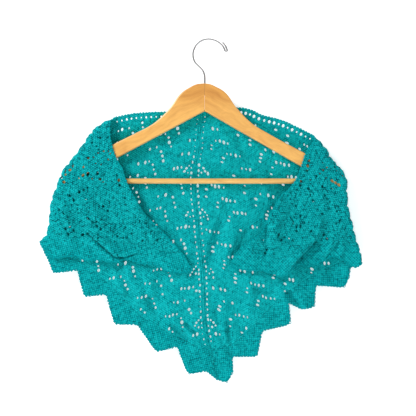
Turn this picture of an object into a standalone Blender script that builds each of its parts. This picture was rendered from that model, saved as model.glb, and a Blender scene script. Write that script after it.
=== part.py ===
"""A triangular knitted lace shawl, folded over the arms of a flat wooden coat hanger.

The shawl is knitted from the middle of its neck edge outwards: two lace halves either side of a
centre spine, and a plain garter edging with square teeth round the two lower sides. Each half hangs
behind the hanger and turns round the end of an arm to lie in front as a wing.

Frame: the origin is the underside of the hook's crown, X runs to the right, Z up, and the wings
face -Y. Tables and functions work in millimetres; meshes are made in metres.
"""

import math
from dataclasses import dataclass

import bmesh
import bpy
import numpy as np
from mathutils import Vector
from mathutils.geometry import delaunay_2d_cdt

MM = 0.001
GAP = 0.3

# The hanger
WOOD_DEPTH = 12.6
WOOD_ROUND = 2.0
SEAM_X = -5.4
WIRE = 2.8
HOOK_RADIUS = 24.2
HOOK_CENTRE_X = 0.8
STEM_X = -5.0
STEM_FOOT_Z = -86.0
STEM_BEND_Z = -50.0
STEM_BEND_RADIUS = 14.0
STEM_BORE_TOP_Z = -60.0
HOOK_START_DEG, HOOK_TIP_DEG = 214.0, 14.0
TIP_FLARE = 2.2
FLARE_START_DEG = 70.0
TIP_RETURN_DEG = 42.0
TIP_PITCH = 3.6
BAR_DIAMETER = 8.3
BAR_Z = -220.0
BAR_LEFT_X, BAR_RIGHT_X = -215.0, 198.0
BAR_BORE_DEPTH = 30.0
ARM_STEP = 26.0

# The cloth
CLOTH = 1.6
LAY = 0.9
HANGER_HALF_DEPTH = WOOD_DEPTH / 2 + LAY + CLOTH / 2
HEM_HALF_DEPTH = 4.4
CLEAR_OF_BAR_Z, HEM_DEPTH_Z = -236.0, -330.0
FOLD_FADE = 30.0
SPINE_WIDTH = 3.0
SPINE_EYELET_OFFSET = 5.2
SPINE_EYELET_PITCH = 12.0
SPINE_TOP, SPINE_SEAM, SPINE_FOOT = -108.5, -484.0, -504.0
MESH_STEP = 13.5
EDGE_STEP = 11.0
TURN_STEP = 3.2
SEAM_STEP = 7.0
POINT_CLEARANCE = 4.0
EYELET_WIDE, EYELET_HIGH = 4.6, 5.4
EYELET_MARGIN = 2.2
EYELET_RIM = 1.0
EYELET_CLEARANCE = 2.5
NECK_EYELET_DROP = 6.6
NECK_EYELET_PITCH = 8.0
NECK_EYELET_START = 12.0
WING_EYELET_PITCH = 12.0

# The centre spine's path down the back. Columns: X, Z
SPINE = (
    (-9.5, -107.0),
    (-13.0, -140.0),
    (-15.5, -172.0),
    (-20.5, -200.0),
    (-21.0, -240.0),
    (-18.0, -270.0),
    (-13.5, -315.0),
    (-8.0, -370.0),
    (-6.5, -420.0),
    (-1.0, -470.0),
    (8.0, -503.0),
)

# Soft ridges and troughs. Columns: start X, start Z, end X, end Z, half width, height
BACK_FOLDS = (
    (-60.0, -130.0, -75.0, -200.0, 16.0, 3.0),
    (60.0, -125.0, 95.0, -190.0, 16.0, 3.0),
    (20.0, -300.0, 2.0, -350.0, 12.0, 3.4),
    (-120.0, -250.0, -150.0, -330.0, 20.0, 3.5),
    (105.0, -240.0, 150.0, -320.0, 20.0, 3.5),
    (-70.0, -380.0, -95.0, -440.0, 15.0, 4.5),
    (-30.0, -430.0, -45.0, -475.0, 13.0, 4.0),
    (-150.0, -350.0, -172.0, -398.0, 14.0, 4.0),
    (45.0, -420.0, 60.0, -480.0, 14.0, 4.5),
    (95.0, -390.0, 112.0, -445.0, 14.0, 4.0),
    (150.0, -345.0, 162.0, -400.0, 13.0, 4.0),
    (185.0, -320.0, 200.0, -375.0, 13.0, 3.5),
    (6.0, -450.0, 16.0, -520.0, 12.0, 4.0),
)
LEFT_WING_FOLDS = (
    (-209.0, -230.0, -188.0, -262.0, 11.0, 4.0),
    (-188.0, -262.0, -158.0, -300.0, 12.0, 5.0),
    (-176.0, -312.0, -146.0, -330.0, 9.0, 6.0),
    (-232.0, -262.0, -214.0, -318.0, 9.0, 4.5),
    (-125.0, -235.0, -95.0, -305.0, 12.0, 3.5),
    (-105.0, -322.0, -60.0, -345.0, 10.0, 3.0),
    (-170.0, -150.0, -195.0, -200.0, 13.0, 2.0),
)
RIGHT_WING_FOLDS = (
    (74.0, -300.0, 62.0, -335.0, 9.0, 4.5),
    (108.0, -255.0, 98.0, -325.0, 11.0, 5.0),
    (172.0, -285.0, 150.0, -318.0, 9.0, 6.0),
    (150.0, -318.0, 122.0, -352.0, 8.0, 7.0),
    (205.0, -295.0, 190.0, -325.0, 10.0, 5.0),
    (224.0, -300.0, 236.0, -345.0, 8.0, 4.5),
    (168.0, -195.0, 185.0, -245.0, 13.0, 2.5),
)


@dataclass(frozen=True)
class Half:
    """One half of the shawl, on the picture's left (side -1) or right (side 1)."""

    name: str
    side: int
    fold_top: tuple
    fold_foot: tuple
    bulge: tuple
    top_edge: tuple
    back_hem: tuple
    back_seam: tuple
    wing_edge: tuple
    wing_hem: tuple
    wing_seam: tuple
    wing_folds: tuple
    back_fold_end: float
    wing_seam_at: float
    back_seam_at: float
    motif_start: tuple
    motif_down: tuple
    motif_across: tuple


LEFT = Half(
    name="left",
    side=-1,
    fold_top=(-150.0, -123.0),
    fold_foot=(-262.5, -314.5),
    # Columns: distance down the fold's chord, height of the fold outside it
    bulge=(
        (0.0, 0.0),
        (10.0, 7.5),
        (30.0, 16.0),
        (60.0, 18.8),
        (84.0, 21.6),
        (108.0, 25.0),
        (134.0, 21.0),
        (161.0, 15.6),
        (189.0, 2.8),
        (207.0, -3.0),
        (222.0, -0.8),
    ),
    # Columns: X, Z
    top_edge=((-137.0, -118.5), (-119.0, -115.0), (-94.0, -113.0), (-60.0, -111.5), (-34.0, -109.5)),
    # Columns: X, Z, corner radius
    back_hem=(
        (-248.0, -346.0, 6.0),
        (-242.0, -363.0, 4.0),
        (-204.0, -358.0, 3.0),
        (-193.0, -400.0, 5.0),
        (-159.0, -396.0, 4.0),
        (-146.0, -443.0, 5.0),
        (-111.0, -443.0, 5.0),
        (-81.0, -486.0, 6.0),
        (-48.0, -478.0, 4.0),
        (-31.0, -521.0, 7.0),
        (-3.0, -516.0, 6.0),
        (14.0, -530.0, 9.0),
    ),
    back_seam=((-228.0, -334.0), (-197.0, -347.0), (-151.0, -385.0), (-103.0, -432.0), (-42.0, -467.0)),
    wing_edge=(
        (-152.5, -149.0),
        (-145.0, -181.0),
        (-134.0, -200.0),
        (-129.0, -216.0),
        (-118.0, -239.0),
        (-99.0, -271.0),
        (-80.0, -290.0),
        (-41.0, -332.0),
        (-29.0, -352.0),
    ),
    wing_hem=(
        (-251.0, -330.0, 5.0),
        (-239.0, -340.0, 6.0),
        (-204.0, -335.0, 7.0),
        (-190.0, -344.0, 6.0),
        (-168.0, -341.0, 7.0),
        (-150.0, -347.0, 6.0),
        (-128.0, -340.0, 7.0),
        (-104.0, -348.0, 6.0),
        (-81.0, -350.0, 6.0),
        (-62.0, -361.0, 6.0),
        (-36.0, -363.0, 6.0),
        (-25.0, -357.0, 4.0),
    ),
    wing_seam=((-231.0, -307.0), (-199.0, -309.0), (-168.0, -314.0), (-106.0, -319.0), (-75.0, -328.0)),
    wing_folds=LEFT_WING_FOLDS,
    back_fold_end=222.0,
    wing_seam_at=190.0,
    back_seam_at=208.0,
    motif_start=(-56.0, -246.0),
    motif_down=(-12.5, -21.6),
    motif_across=(43.7, -29.6),
)

RIGHT = Half(
    name="right",
    side=1,
    fold_top=(168.0, -152.0),
    fold_foot=(241.5, -347.0),
    bulge=(
        (0.0, 0.0),
        (10.0, 4.6),
        (24.0, 9.4),
        (40.0, 11.5),
        (57.0, 18.6),
        (76.0, 22.4),
        (98.0, 15.4),
        (120.0, 9.0),
        (144.0, 6.2),
        (169.0, 3.0),
        (193.0, 2.0),
        (208.5, -0.8),
    ),
    top_edge=(
        (158.0, -145.0),
        (140.0, -136.0),
        (115.0, -125.0),
        (85.0, -117.0),
        (68.0, -109.0),
        (50.0, -105.5),
        (27.0, -106.0),
    ),
    back_hem=(
        (222.0, -354.0, 4.0),
        (220.0, -369.0, 4.0),
        (213.0, -386.0, 7.0),
        (168.0, -382.0, 4.0),
        (166.0, -417.0, 7.0),
        (146.0, -420.0, 5.0),
        (125.0, -409.0, 3.0),
        (129.0, -444.0, 9.0),
        (84.0, -454.0, 5.0),
        (76.0, -494.0, 5.0),
        (37.0, -494.0, 5.0),
        (38.0, -514.0, 6.0),
        (28.0, -534.0, 6.0),
        (14.0, -530.0, 9.0),
    ),
    back_seam=((206.0, -347.0), (160.0, -370.0), (117.0, -399.0), (76.0, -442.0), (40.0, -474.0)),
    wing_edge=(
        (154.0, -174.0),
        (145.0, -199.0),
        (140.0, -213.0),
        (127.0, -232.0),
        (113.0, -245.0),
        (91.0, -283.0),
        (83.0, -301.0),
        (55.0, -321.0),
        (40.0, -339.0),
    ),
    wing_hem=(
        (231.0, -355.0, 5.0),
        (220.0, -351.0, 6.0),
        (211.0, -343.0, 6.0),
        (198.0, -336.0, 7.0),
        (183.0, -340.0, 7.0),
        (168.0, -349.0, 7.0),
        (153.0, -353.0, 6.0),
        (140.0, -347.0, 6.0),
        (119.0, -368.0, 7.0),
        (105.0, -366.0, 7.0),
        (84.0, -358.0, 7.0),
        (62.0, -359.0, 7.0),
        (37.0, -354.0, 4.0),
    ),
    wing_seam=(
        (214.0, -318.0),
        (190.0, -312.0),
        (167.0, -322.0),
        (142.0, -323.0),
        (120.0, -340.0),
        (88.0, -335.0),
    ),
    wing_folds=RIGHT_WING_FOLDS,
    back_fold_end=208.5,
    wing_seam_at=184.0,
    back_seam_at=196.0,
    motif_start=(15.6, -254.0),
    motif_down=(17.5, -21.0),
    motif_across=(-42.5, -28.0),
)

# Eyelets of one motif, the largest of each run. Columns: X towards the silhouette, Z, lean in degrees
MOTIF = ((-2.0, -6.5, 8.0), (11.0, 5.0, 60.0))

# The arms' outlines, from the top of the centre seam round the end and back. Columns: X, Z, corner radius
LEFT_ARM = (
    (SEAM_X, -68.0, 0.0),
    (-19.0, -69.0, 7.0),
    (-44.0, -83.0, 14.0),
    (-58.0, -106.0, 30.0),
    (-84.0, -131.5, 60.0),
    (-147.0, -162.5, 30.0),
    (-209.0, -194.0, 16.0),
    (-224.0, -204.0, 14.0),
    (-227.5, -230.0, 11.0),
    (-207.0, -230.0, 8.0),
    (-196.0, -212.5, 8.0),
    (SEAM_X, -111.0, 0.0),
)
RIGHT_ARM = (
    (SEAM_X + GAP, -68.0, 0.0),
    (4.0, -69.0, 7.0),
    (28.0, -81.0, 14.0),
    (43.0, -105.0, 30.0),
    (68.0, -131.5, 60.0),
    (122.0, -162.0, 30.0),
    (196.0, -199.5, 16.0),
    (210.5, -209.5, 11.0),
    (211.0, -231.0, 10.0),
    (190.0, -231.0, 8.0),
    (178.0, -216.0, 8.0),
    (SEAM_X + GAP, -111.0, 0.0),
)

YARN = (0.002, 0.335, 0.36)
EDGING_YARN = (0.003, 0.37, 0.39)
WOOD = (0.83, 0.44, 0.13)
BAR_WOOD = (0.9, 0.55, 0.2)
STEEL = (0.58, 0.58, 0.6)


def material(name, colour, roughness, metallic=0.0):
    """A Principled material with one colour."""
    made = bpy.data.materials.new(name)
    made.use_nodes = True
    shader = made.node_tree.nodes["Principled BSDF"]
    shader.inputs["Base Color"].default_value = (*colour, 1.0)
    shader.inputs["Roughness"].default_value = roughness
    shader.inputs["Metallic"].default_value = metallic
    return made


def add_object(name, points, faces, finish, smooth_deg=40.0):
    """Makes a closed body from points in millimetres and faces, with its normals out."""
    mesh = bpy.data.meshes.new(name)
    mesh.from_pydata([Vector(p) * MM for p in points], [], faces)
    shape = bmesh.new()
    shape.from_mesh(mesh)
    bmesh.ops.recalc_face_normals(shape, faces=shape.faces)
    shape.to_mesh(mesh)
    shape.free()
    mesh.shade_smooth()
    mesh.set_sharp_from_angle(angle=math.radians(smooth_deg))
    mesh.materials.append(finish)
    made = bpy.data.objects.new(name, mesh)
    bpy.context.scene.collection.objects.link(made)
    return made


def smoothstep(value):
    """0 below 0, 1 above 1 and a smooth rise between."""
    t = np.clip(value, 0.0, 1.0)
    return t * t * (3.0 - 2.0 * t)


def curve_value(rows, places):
    """Values of a smooth curve through a table of (place, value), held flat outside it."""
    table = np.array(rows)
    x, y = table[:, 0], table[:, 1]
    slope = np.zeros(len(x))
    slope[1:-1] = (y[2:] - y[:-2]) / (x[2:] - x[:-2])
    at = np.clip(places, x[0], x[-1])
    i = np.clip(np.searchsorted(x, at, side="right") - 1, 0, len(x) - 2)
    run = x[i + 1] - x[i]
    t = (at - x[i]) / run
    rise = (2 * t**3 - 3 * t**2 + 1) * y[i] + (3 * t**2 - 2 * t**3) * y[i + 1]
    return rise + run * ((t**3 - 2 * t**2 + t) * slope[i] + (t**3 - t**2) * slope[i + 1])


def smooth_line(points, step):
    """Points about a step apart on a Catmull-Rom curve through the given ones."""
    p = [np.array(q, float) for q in points]
    p = [2 * p[0] - p[1], *p, 2 * p[-1] - p[-2]]
    line = []
    for a, b, c, d in zip(p, p[1:], p[2:], p[3:]):
        count = max(1, round(np.linalg.norm(c - b) / step))
        slope, bend, twist = c - a, 2 * a - 5 * b + 4 * c - d, 3 * b - a - 3 * c + d
        line += [b + 0.5 * (slope * t + bend * t**2 + twist * t**3) for t in np.arange(count) / count]
    return [*line, p[-2]]


def rounded_line(rows, step, arc_steps=3):
    """A line of straight sides whose inner corners are rounded. Columns: X, Z, radius."""
    corners = [np.array(row[:2], float) for row in rows]
    line = [corners[0]]
    for before, here, after, row in zip(corners, corners[1:], corners[2:], rows[1:]):
        back, on = before - here, after - here
        reach = min(row[2], 0.45 * np.linalg.norm(back), 0.45 * np.linalg.norm(on))
        start, stop = here + back / np.linalg.norm(back) * reach, here + on / np.linalg.norm(on) * reach
        line += between(line[-1], start, step)
        for t in np.linspace(0.0, 1.0, arc_steps + 1):
            line.append((1 - t) ** 2 * start + 2 * t * (1 - t) * here + t**2 * stop)
    line += between(line[-1], corners[-1], step)
    return [*line, corners[-1]]


def between(start, stop, step):
    """Evenly spaced points between two others, without them."""
    count = max(1, round(np.linalg.norm(stop - start) / step))
    return [start + (stop - start) * i / count for i in range(1, count)]


def half_depth(z):
    """Half the distance between the back and a wing: the hanger's thickness, less towards the hem."""
    drop = smoothstep((CLEAR_OF_BAR_Z - z) / (CLEAR_OF_BAR_Z - HEM_DEPTH_Z))
    return HANGER_HALF_DEPTH + (HEM_HALF_DEPTH - HANGER_HALF_DEPTH) * drop


def folded(rows, plane):
    """How far the soft folds in a table stand out at places (X, Z), blended where they meet."""
    cubes = np.zeros(len(plane))
    for x0, z0, x1, z1, width, rise in rows:
        start, run = np.array((x0, z0)), np.array((x1 - x0, z1 - z0))
        t = np.clip((plane - start) @ run / (run @ run), 0.0, 1.0)
        away = np.linalg.norm(plane - start - t[:, None] * run, axis=1)
        cubes += (rise * np.exp(-((away / width) ** 2))) ** 3
    return np.cbrt(cubes)


def fold_axes(half):
    """The directions down the chord of a half's side fold and outwards from it."""
    down = np.subtract(half.fold_foot, half.fold_top)
    down = down / np.linalg.norm(down)
    return down, half.side * np.array((-down[1], down[0]))


def fold_edge(half, along, inset=GAP / 2):
    """The place in a panel's flat plan of its edge on the side fold."""
    down, out = fold_axes(half)
    place = np.array(half.fold_top) + down * along
    crest = curve_value(half.bulge, np.array([along]))[0]
    depth = half_depth((place + out * crest)[1])
    return place + out * (crest + (math.pi / 2 - 1) * depth - inset)


def in_space(half, plane, front):
    """Points in space of a panel's flat plan: flat, but for its folds and the turn round the side."""
    plane = np.asarray(plane, float)
    down, out = fold_axes(half)
    offset = plane - np.array(half.fold_top)
    along, outward = offset @ down, offset @ out
    depth = half_depth(plane[:, 1])
    crest = curve_value(half.bulge, along)
    arc = crest + (math.pi / 2 - 1) * depth - outward
    turn = np.clip(arc / depth, 0.0, math.pi / 2)
    outward = np.where(arc < depth * math.pi / 2, crest - depth * (1 - np.cos(turn)), outward)
    rows = half.wing_folds if front else BACK_FOLDS
    y = depth * np.sin(turn) + folded(rows, plane) * smoothstep(arc / FOLD_FADE - 0.2)
    flat = np.array(half.fold_top) + along[:, None] * down + outward[:, None] * out
    return np.column_stack((flat[:, 0], -y if front else y, flat[:, 1]))


def wall(name, plan, triangles, shaper, finish):
    """A cloth wall of even thickness on the surface that shaper gives for a flat plan.

    The wall's rim is split the same way on both sides of a seam, so that rims never cross.
    """
    plan = np.array(plan)
    middle = shaper(plan)
    across = shaper(plan + (0.2, 0.0)) - shaper(plan - (0.2, 0.0))
    up = shaper(plan + (0.0, 0.2)) - shaper(plan - (0.0, 0.2))
    normal = np.cross(across, up)
    normal /= np.linalg.norm(normal, axis=1)[:, None]
    count = len(plan)
    points = np.vstack((middle + normal * CLOTH / 2, middle - normal * CLOTH / 2))
    sides = {(a, b) for tri in triangles for a, b in zip(tri, (*tri[1:], tri[0]))}
    faces = [tuple(tri) for tri in triangles]
    faces += [tuple(i + count for i in reversed(tri)) for tri in triangles]
    for a, b in sorted((a, b) for a, b in sides if (b, a) not in sides):
        if tuple(plan[a]) < tuple(plan[b]):
            faces += [(b, a, b + count), (a, a + count, b + count)]
        else:
            faces += [(b, a, a + count), (b, a + count, b + count)]
    return add_object(name, points, faces, finish)


def signed_area(ring):
    """Twice the area inside a ring of points, above 0 when it runs anticlockwise."""
    x, z = np.array(ring).T
    return float(np.sum(x * np.roll(z, -1) - np.roll(x, -1) * z))


def distances(ring, places):
    """Each place's distance to the nearest side of a closed ring."""
    a = np.array(ring)
    run = np.roll(a, -1, axis=0) - a
    offset = places[:, None, :] - a[None]
    t = np.clip((offset * run).sum(2) / (run * run).sum(1), 0.0, 1.0)
    return np.linalg.norm(offset - t[..., None] * run, axis=2).min(1)


def inside(ring, places):
    """Which places lie inside a closed ring."""
    a = np.array(ring)
    b = np.roll(a, -1, axis=0)
    x, z = places[:, None, 0], places[:, None, 1]
    spans = (a[:, 1] > z) != (b[:, 1] > z)
    rise = np.where(b[:, 1] == a[:, 1], 1.0, b[:, 1] - a[:, 1])
    cross = a[:, 0] + (z - a[:, 1]) * (b[:, 0] - a[:, 0]) / rise
    return (spans & (x < cross)).sum(1) % 2 == 1


def cut_plan(half, ring, eyelets, extra):
    """Triangulates a panel's flat plan round its eyelets. Eyelet columns: X, Z, lean in degrees."""
    ring = finer_at_turn(half, ring)
    if signed_area(ring) < 0:
        ring = ring[::-1]
    centres = np.array([row[:2] for row in eyelets]).reshape(-1, 2)
    if len(centres):
        keep = inside(ring, centres) & (distances(ring, centres) > EYELET_WIDE / 2 + EYELET_RIM)
        eyelets = [row for row, kept in zip(eyelets, keep) if kept]
        centres = centres[keep]
    low, top = np.min(ring, axis=0), np.max(ring, axis=0)
    rows = np.arange(low[1], top[1], MESH_STEP * math.sin(math.pi / 3))
    columns = np.arange(low[0], top[0], MESH_STEP)
    grid = [(x + (i % 2) * MESH_STEP / 2, z) for i, z in enumerate(rows) for x in columns]
    inner = []
    for place in [*extra, *grid]:
        apart = np.linalg.norm(np.array([*inner, (1e6, 1e6)]) - place, axis=1).min()
        clear = np.linalg.norm(centres - place, axis=1).min() if len(centres) else 1e6
        if apart > POINT_CLEARANCE and clear > EYELET_HIGH / 2 + EYELET_CLEARANCE:
            inner.append(place)
    if inner:
        spots = np.array(inner)
        keep = inside(ring, spots) & (distances(ring, spots) > POINT_CLEARANCE)
        inner = list(spots[keep])
    points, loops = list(ring), [list(range(len(ring)))]
    for x, z, lean in eyelets:
        cosine, sine = math.cos(math.radians(lean)), math.sin(math.radians(lean))
        first = len(points)
        for wide, high in ((EYELET_WIDE, 0), (0, EYELET_HIGH), (-EYELET_WIDE, 0), (0, -EYELET_HIGH)):
            points.append((x + (wide * cosine - high * sine) / 2, z + (wide * sine + high * cosine) / 2))
        loops.append(list(range(first, first + 4)))
    points += inner
    plan, _, faces, _, _, came_from = delaunay_2d_cdt([Vector(p) for p in points], [], loops, 1, 1e-4)
    kept = [tuple(face) for face, sources in zip(faces, came_from) if max(sources) == 0]
    return [tuple(p) for p in plan], kept


def spaced_eyelets(line, drop, pitch):
    """A row of eyelets at a distance to the left of a line's direction."""
    line = np.array(line)
    lengths = np.concatenate(([0.0], np.cumsum(np.linalg.norm(np.diff(line, axis=0), axis=1))))
    rows = []
    for at in np.arange(NECK_EYELET_START, lengths[-1] - NECK_EYELET_START, pitch):
        i = min(np.searchsorted(lengths, at, side="right") - 1, len(line) - 2)
        way = (line[i + 1] - line[i]) / (lengths[i + 1] - lengths[i])
        place = line[i] + way * (at - lengths[i]) + np.array((-way[1], way[0])) * drop
        rows.append((*place, math.degrees(math.atan2(way[1], way[0]))))
    return rows


def motif_eyelets(half, mirror):
    """The largest eyelets of each lace motif over one panel, mirrored in the fold for a wing."""
    down, out = fold_axes(half)
    start = np.array(half.motif_start)
    rows = []
    for i in range(-12, 16):
        for j in range(-6, 8):
            corner = start + i * np.array(half.motif_down) + j * np.array(half.motif_across)
            for across, up, lean in MOTIF:
                place = corner + (half.side * across, up)
                angle = -half.side * lean
                if mirror:
                    offset = place - np.array(half.fold_top)
                    place = np.array(half.fold_top) + (offset @ down) * down - (offset @ out) * out
                    angle = 2 * math.degrees(math.atan2(down[1], down[0])) - angle
                rows.append((*place, angle))
    return rows


def fold_grid(half, end):
    """Points that let a panel's mesh turn round the side fold."""
    places = []
    for along in np.arange(EDGE_STEP / 2, end, EDGE_STEP):
        for share in (1 / 3, 2 / 3, 1.0):
            edge = fold_edge(half, along)
            depth = half_depth(edge[1])
            places.append(edge - fold_axes(half)[1] * share * depth * math.pi / 2)
    return places


def finer_at_turn(half, ring):
    """Adds points to a ring where its sides run round the side fold."""
    down, out = fold_axes(half)
    fine = []
    for start, stop in zip(ring, [*ring[1:], ring[0]]):
        ends = np.array((start, stop))
        offset = ends - np.array(half.fold_top)
        depth = half_depth(ends[:, 1])
        arc = curve_value(half.bulge, offset @ down) + (math.pi / 2 - 1) * depth - offset @ out
        turned = np.minimum(arc, depth * math.pi / 2 + 1.0)
        count = max(1, math.ceil(abs(turned[1] - turned[0]) / TURN_STEP))
        fine += [start + (stop - start) * i / count for i in range(count)]
    return fine


def spine_x(z):
    """The spine's middle at a height."""
    table = sorted((-row[1], row[0]) for row in SPINE)
    return curve_value(table, np.atleast_1d(-np.asarray(z, float)))


def spine_side(half, top, foot, step):
    """A half's edge along the spine, going down."""
    heights = np.linspace(top, foot, max(2, round((top - foot) / step)))
    x = spine_x(heights) + half.side * (SPINE_WIDTH / 2 + GAP)
    return [np.array(place) for place in zip(x, heights)]


def shifted(line, amount):
    """A line moved sideways, to the left of its direction."""
    line = np.array(line)
    way = np.gradient(line, axis=0)
    way /= np.linalg.norm(way, axis=1)[:, None]
    return list(line + np.column_stack((-way[:, 1], way[:, 0])) * amount)


def fold_side(half, start, stop):
    """A panel's edge along the side fold."""
    count = max(2, round(abs(stop - start) / EDGE_STEP))
    return [fold_edge(half, along) for along in np.linspace(start, stop, count + 1)]


def back_panels(half, yarn, edging):
    """The lace and the edging of the half that hangs behind the hanger."""
    spine = spine_side(half, SPINE_TOP, SPINE_SEAM + GAP / 2, EDGE_STEP)
    top = smooth_line([fold_edge(half, 0.0), *half.top_edge, spine[0]], EDGE_STEP)
    seam_start = spine_side(half, SPINE_SEAM, SPINE_FOOT, EDGE_STEP)[0]
    seam = smooth_line([seam_start, *half.back_seam[::-1], fold_edge(half, half.back_seam_at)], SEAM_STEP)
    lace_end = fold_edge(half, half.back_seam_at - GAP / 2)
    lace_seam = [spine[-1], *shifted(seam, half.side * GAP / 2)[1:-1], lace_end]
    side = fold_side(half, half.back_seam_at - GAP / 2, 0.0)
    ring = [*top[:-1], *spine[:-1], *lace_seam[:-1], *side[:-1]]
    columns = np.arange(SPINE_TOP - SPINE_EYELET_PITCH, SPINE_SEAM, -SPINE_EYELET_PITCH)
    spots = [(spine_x(z)[0] + half.side * SPINE_EYELET_OFFSET, z, 0.0) for z in columns]
    spots += motif_eyelets(half, False)
    spots += spaced_eyelets(top, half.side * NECK_EYELET_DROP, NECK_EYELET_PITCH)
    plan, faces = cut_plan(half, ring, chosen(spots), fold_grid(half, half.back_seam_at))
    wall(f"back_{half.name}", plan, faces, lambda places: in_space(half, places, False), yarn)

    inner = spine_side(half, SPINE_SEAM - GAP / 2, SPINE_FOOT, SEAM_STEP)
    edging_end = fold_edge(half, half.back_seam_at + GAP / 2)
    edging_seam = [inner[0], *shifted(seam, -half.side * GAP / 2)[1:-1], edging_end]
    fold = fold_side(half, half.back_seam_at + GAP / 2, half.back_fold_end)
    foot_x, foot_z, _ = half.back_hem[-1]
    foot = (foot_x + half.side * GAP / 2, foot_z, 0.0)
    hem = rounded_line([(*fold[-1], 0.0), *half.back_hem[:-1], foot], EDGE_STEP)
    corner_x, corner_z = inner[-1] - (0.0, GAP)
    under_spine = np.array((corner_x - half.side * (SPINE_WIDTH + GAP) / 2, corner_z))
    corner = np.array((corner_x, corner_z))
    ring = [*edging_seam[:-1], *fold[:-1], *hem, under_spine, corner, *reversed(inner[1:-1])]
    plan, faces = cut_plan(half, ring, [], [])
    wall(f"edging_back_{half.name}", plan, faces, lambda places: in_space(half, places, False), edging)


def wing_panels(half, yarn, edging):
    """The lace and the edging of the wing that lies in front."""
    tip = np.array(half.wing_hem[-1][:2])
    edge = smooth_line([fold_edge(half, 0.0), *half.wing_edge, tip], EDGE_STEP)
    near = int(np.argmin(np.linalg.norm(np.array(edge) - half.wing_edge[-2], axis=1)))
    seam = smooth_line([edge[near], *half.wing_seam[::-1], fold_edge(half, half.wing_seam_at)], SEAM_STEP)
    way = (edge[near + 1] - edge[near]) / np.linalg.norm(edge[near + 1] - edge[near])
    lace_start, edging_start = edge[near] - way * GAP / 2, edge[near] + way * GAP / 2
    lace_end = fold_edge(half, half.wing_seam_at - GAP / 2)
    lace_seam = [lace_start, *shifted(seam, half.side * GAP / 2)[1:-1], lace_end]
    side = fold_side(half, half.wing_seam_at - GAP / 2, 0.0)
    ring = [*edge[:near], *lace_seam[:-1], *side[:-1]]
    spots = motif_eyelets(half, True)
    spots += spaced_eyelets(edge, -half.side * NECK_EYELET_DROP, WING_EYELET_PITCH)
    plan, faces = cut_plan(half, ring, chosen(spots), fold_grid(half, half.wing_seam_at))
    wall(f"wing_{half.name}", plan, faces, lambda places: in_space(half, places, True), yarn)

    edging_end = fold_edge(half, half.wing_seam_at + GAP / 2)
    edging_seam = [edging_start, *shifted(seam, -half.side * GAP / 2)[1:-1], edging_end]
    fold = fold_side(half, half.wing_seam_at + GAP / 2, half.back_fold_end)
    hem = rounded_line([(*fold[-1], 0.0), *half.wing_hem], EDGE_STEP)
    ring = [*edging_seam[:-1], *fold[:-1], *hem, *reversed(edge[near + 1 : -1])]
    plan, faces = cut_plan(half, ring, [], [])
    wall(f"edging_wing_{half.name}", plan, faces, lambda places: in_space(half, places, True), edging)


def chosen(rows):
    """Eyelets that stay clear of those before them in the list."""
    kept = []
    for row in rows:
        if all(math.dist(row[:2], other[:2]) > EYELET_HIGH + EYELET_MARGIN for other in kept):
            kept.append(row)
    return kept


def spine_strip(yarn):
    """The plain rib of stitches down the middle of the back."""
    heights = np.linspace(SPINE_TOP, SPINE_FOOT, 40)
    middle = spine_x(heights)
    left = [np.array(p) for p in zip(middle - SPINE_WIDTH / 2, heights)]
    right = [np.array(p) for p in zip(middle + SPINE_WIDTH / 2, heights)]
    plan, faces = cut_plan(LEFT, [*left, *reversed(right)], [], [])
    wall("spine", plan, faces, lambda places: in_space(LEFT, places, False), yarn)


def tube(name, path, radius, sides, finish):
    """A round bar along a path in the XZ plane, with chamfered ends."""
    path = np.array(path)
    way = np.gradient(path, axis=0)
    way /= np.linalg.norm(way, axis=1)[:, None]
    chamfer = 0.3 * radius
    near, far = path[0] + way[0] * chamfer, path[-1] - way[-1] * chamfer
    path = np.vstack((path[0], near, path[1:-1], far, path[-1]))
    way = np.vstack((way[0], way[0], way[1:-1], way[-1], way[-1]))
    points, faces = [], []
    last = len(path) - 1
    for i, (place, ahead) in enumerate(zip(path, way)):
        here = radius - chamfer if i in (0, last) else radius
        for turn in np.arange(sides) * 2 * math.pi / sides:
            side = here * math.cos(turn)
            points.append((place[0] - ahead[1] * side, here * math.sin(turn), place[1] + ahead[0] * side))
    for i in range(last):
        for k in range(sides):
            a, b = i * sides + k, i * sides + (k + 1) % sides
            faces.append((a, b, b + sides, a + sides))
    faces += [tuple(range(sides)), tuple(range(last * sides, (last + 1) * sides))]
    return add_object(name, points, faces, finish)


def hook_path():
    """The hook's wire: up the stem, out to the left, over the crown and back on itself at the tip."""
    centre = np.array((HOOK_CENTRE_X, WIRE / 2 - HOOK_RADIUS))

    def on_arc(degrees, outside=0.0):
        flare = TIP_FLARE * smoothstep((FLARE_START_DEG - degrees) / (FLARE_START_DEG - HOOK_TIP_DEG))
        turn = math.radians(degrees)
        return centre + (HOOK_RADIUS + flare + outside) * np.array((math.cos(turn), math.sin(turn)))

    start = on_arc(HOOK_START_DEG)
    stem = [(STEM_X, STEM_FOOT_Z, 0.0), (STEM_X, STEM_BEND_Z, STEM_BEND_RADIUS), (*start, 0.0)]
    rise = rounded_line(stem, EDGE_STEP, 5)
    arc = [on_arc(d) for d in np.linspace(HOOK_START_DEG, HOOK_TIP_DEG, 30)]
    tip, over = on_arc(HOOK_TIP_DEG), on_arc(HOOK_TIP_DEG, TIP_PITCH)
    middle = (tip + over) / 2
    reach = tip - middle
    down = np.array((reach[1], -reach[0]))
    down = down if down[1] < 0 else -down
    turns = np.linspace(0.0, math.pi, 9)[1:-1]
    turned = [middle + reach * math.cos(t) + down * math.sin(t) for t in turns]
    back = [on_arc(d, TIP_PITCH) for d in np.linspace(HOOK_TIP_DEG, TIP_RETURN_DEG, 6)]
    return [*rise[:-1], *arc, *turned, *back]


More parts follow.
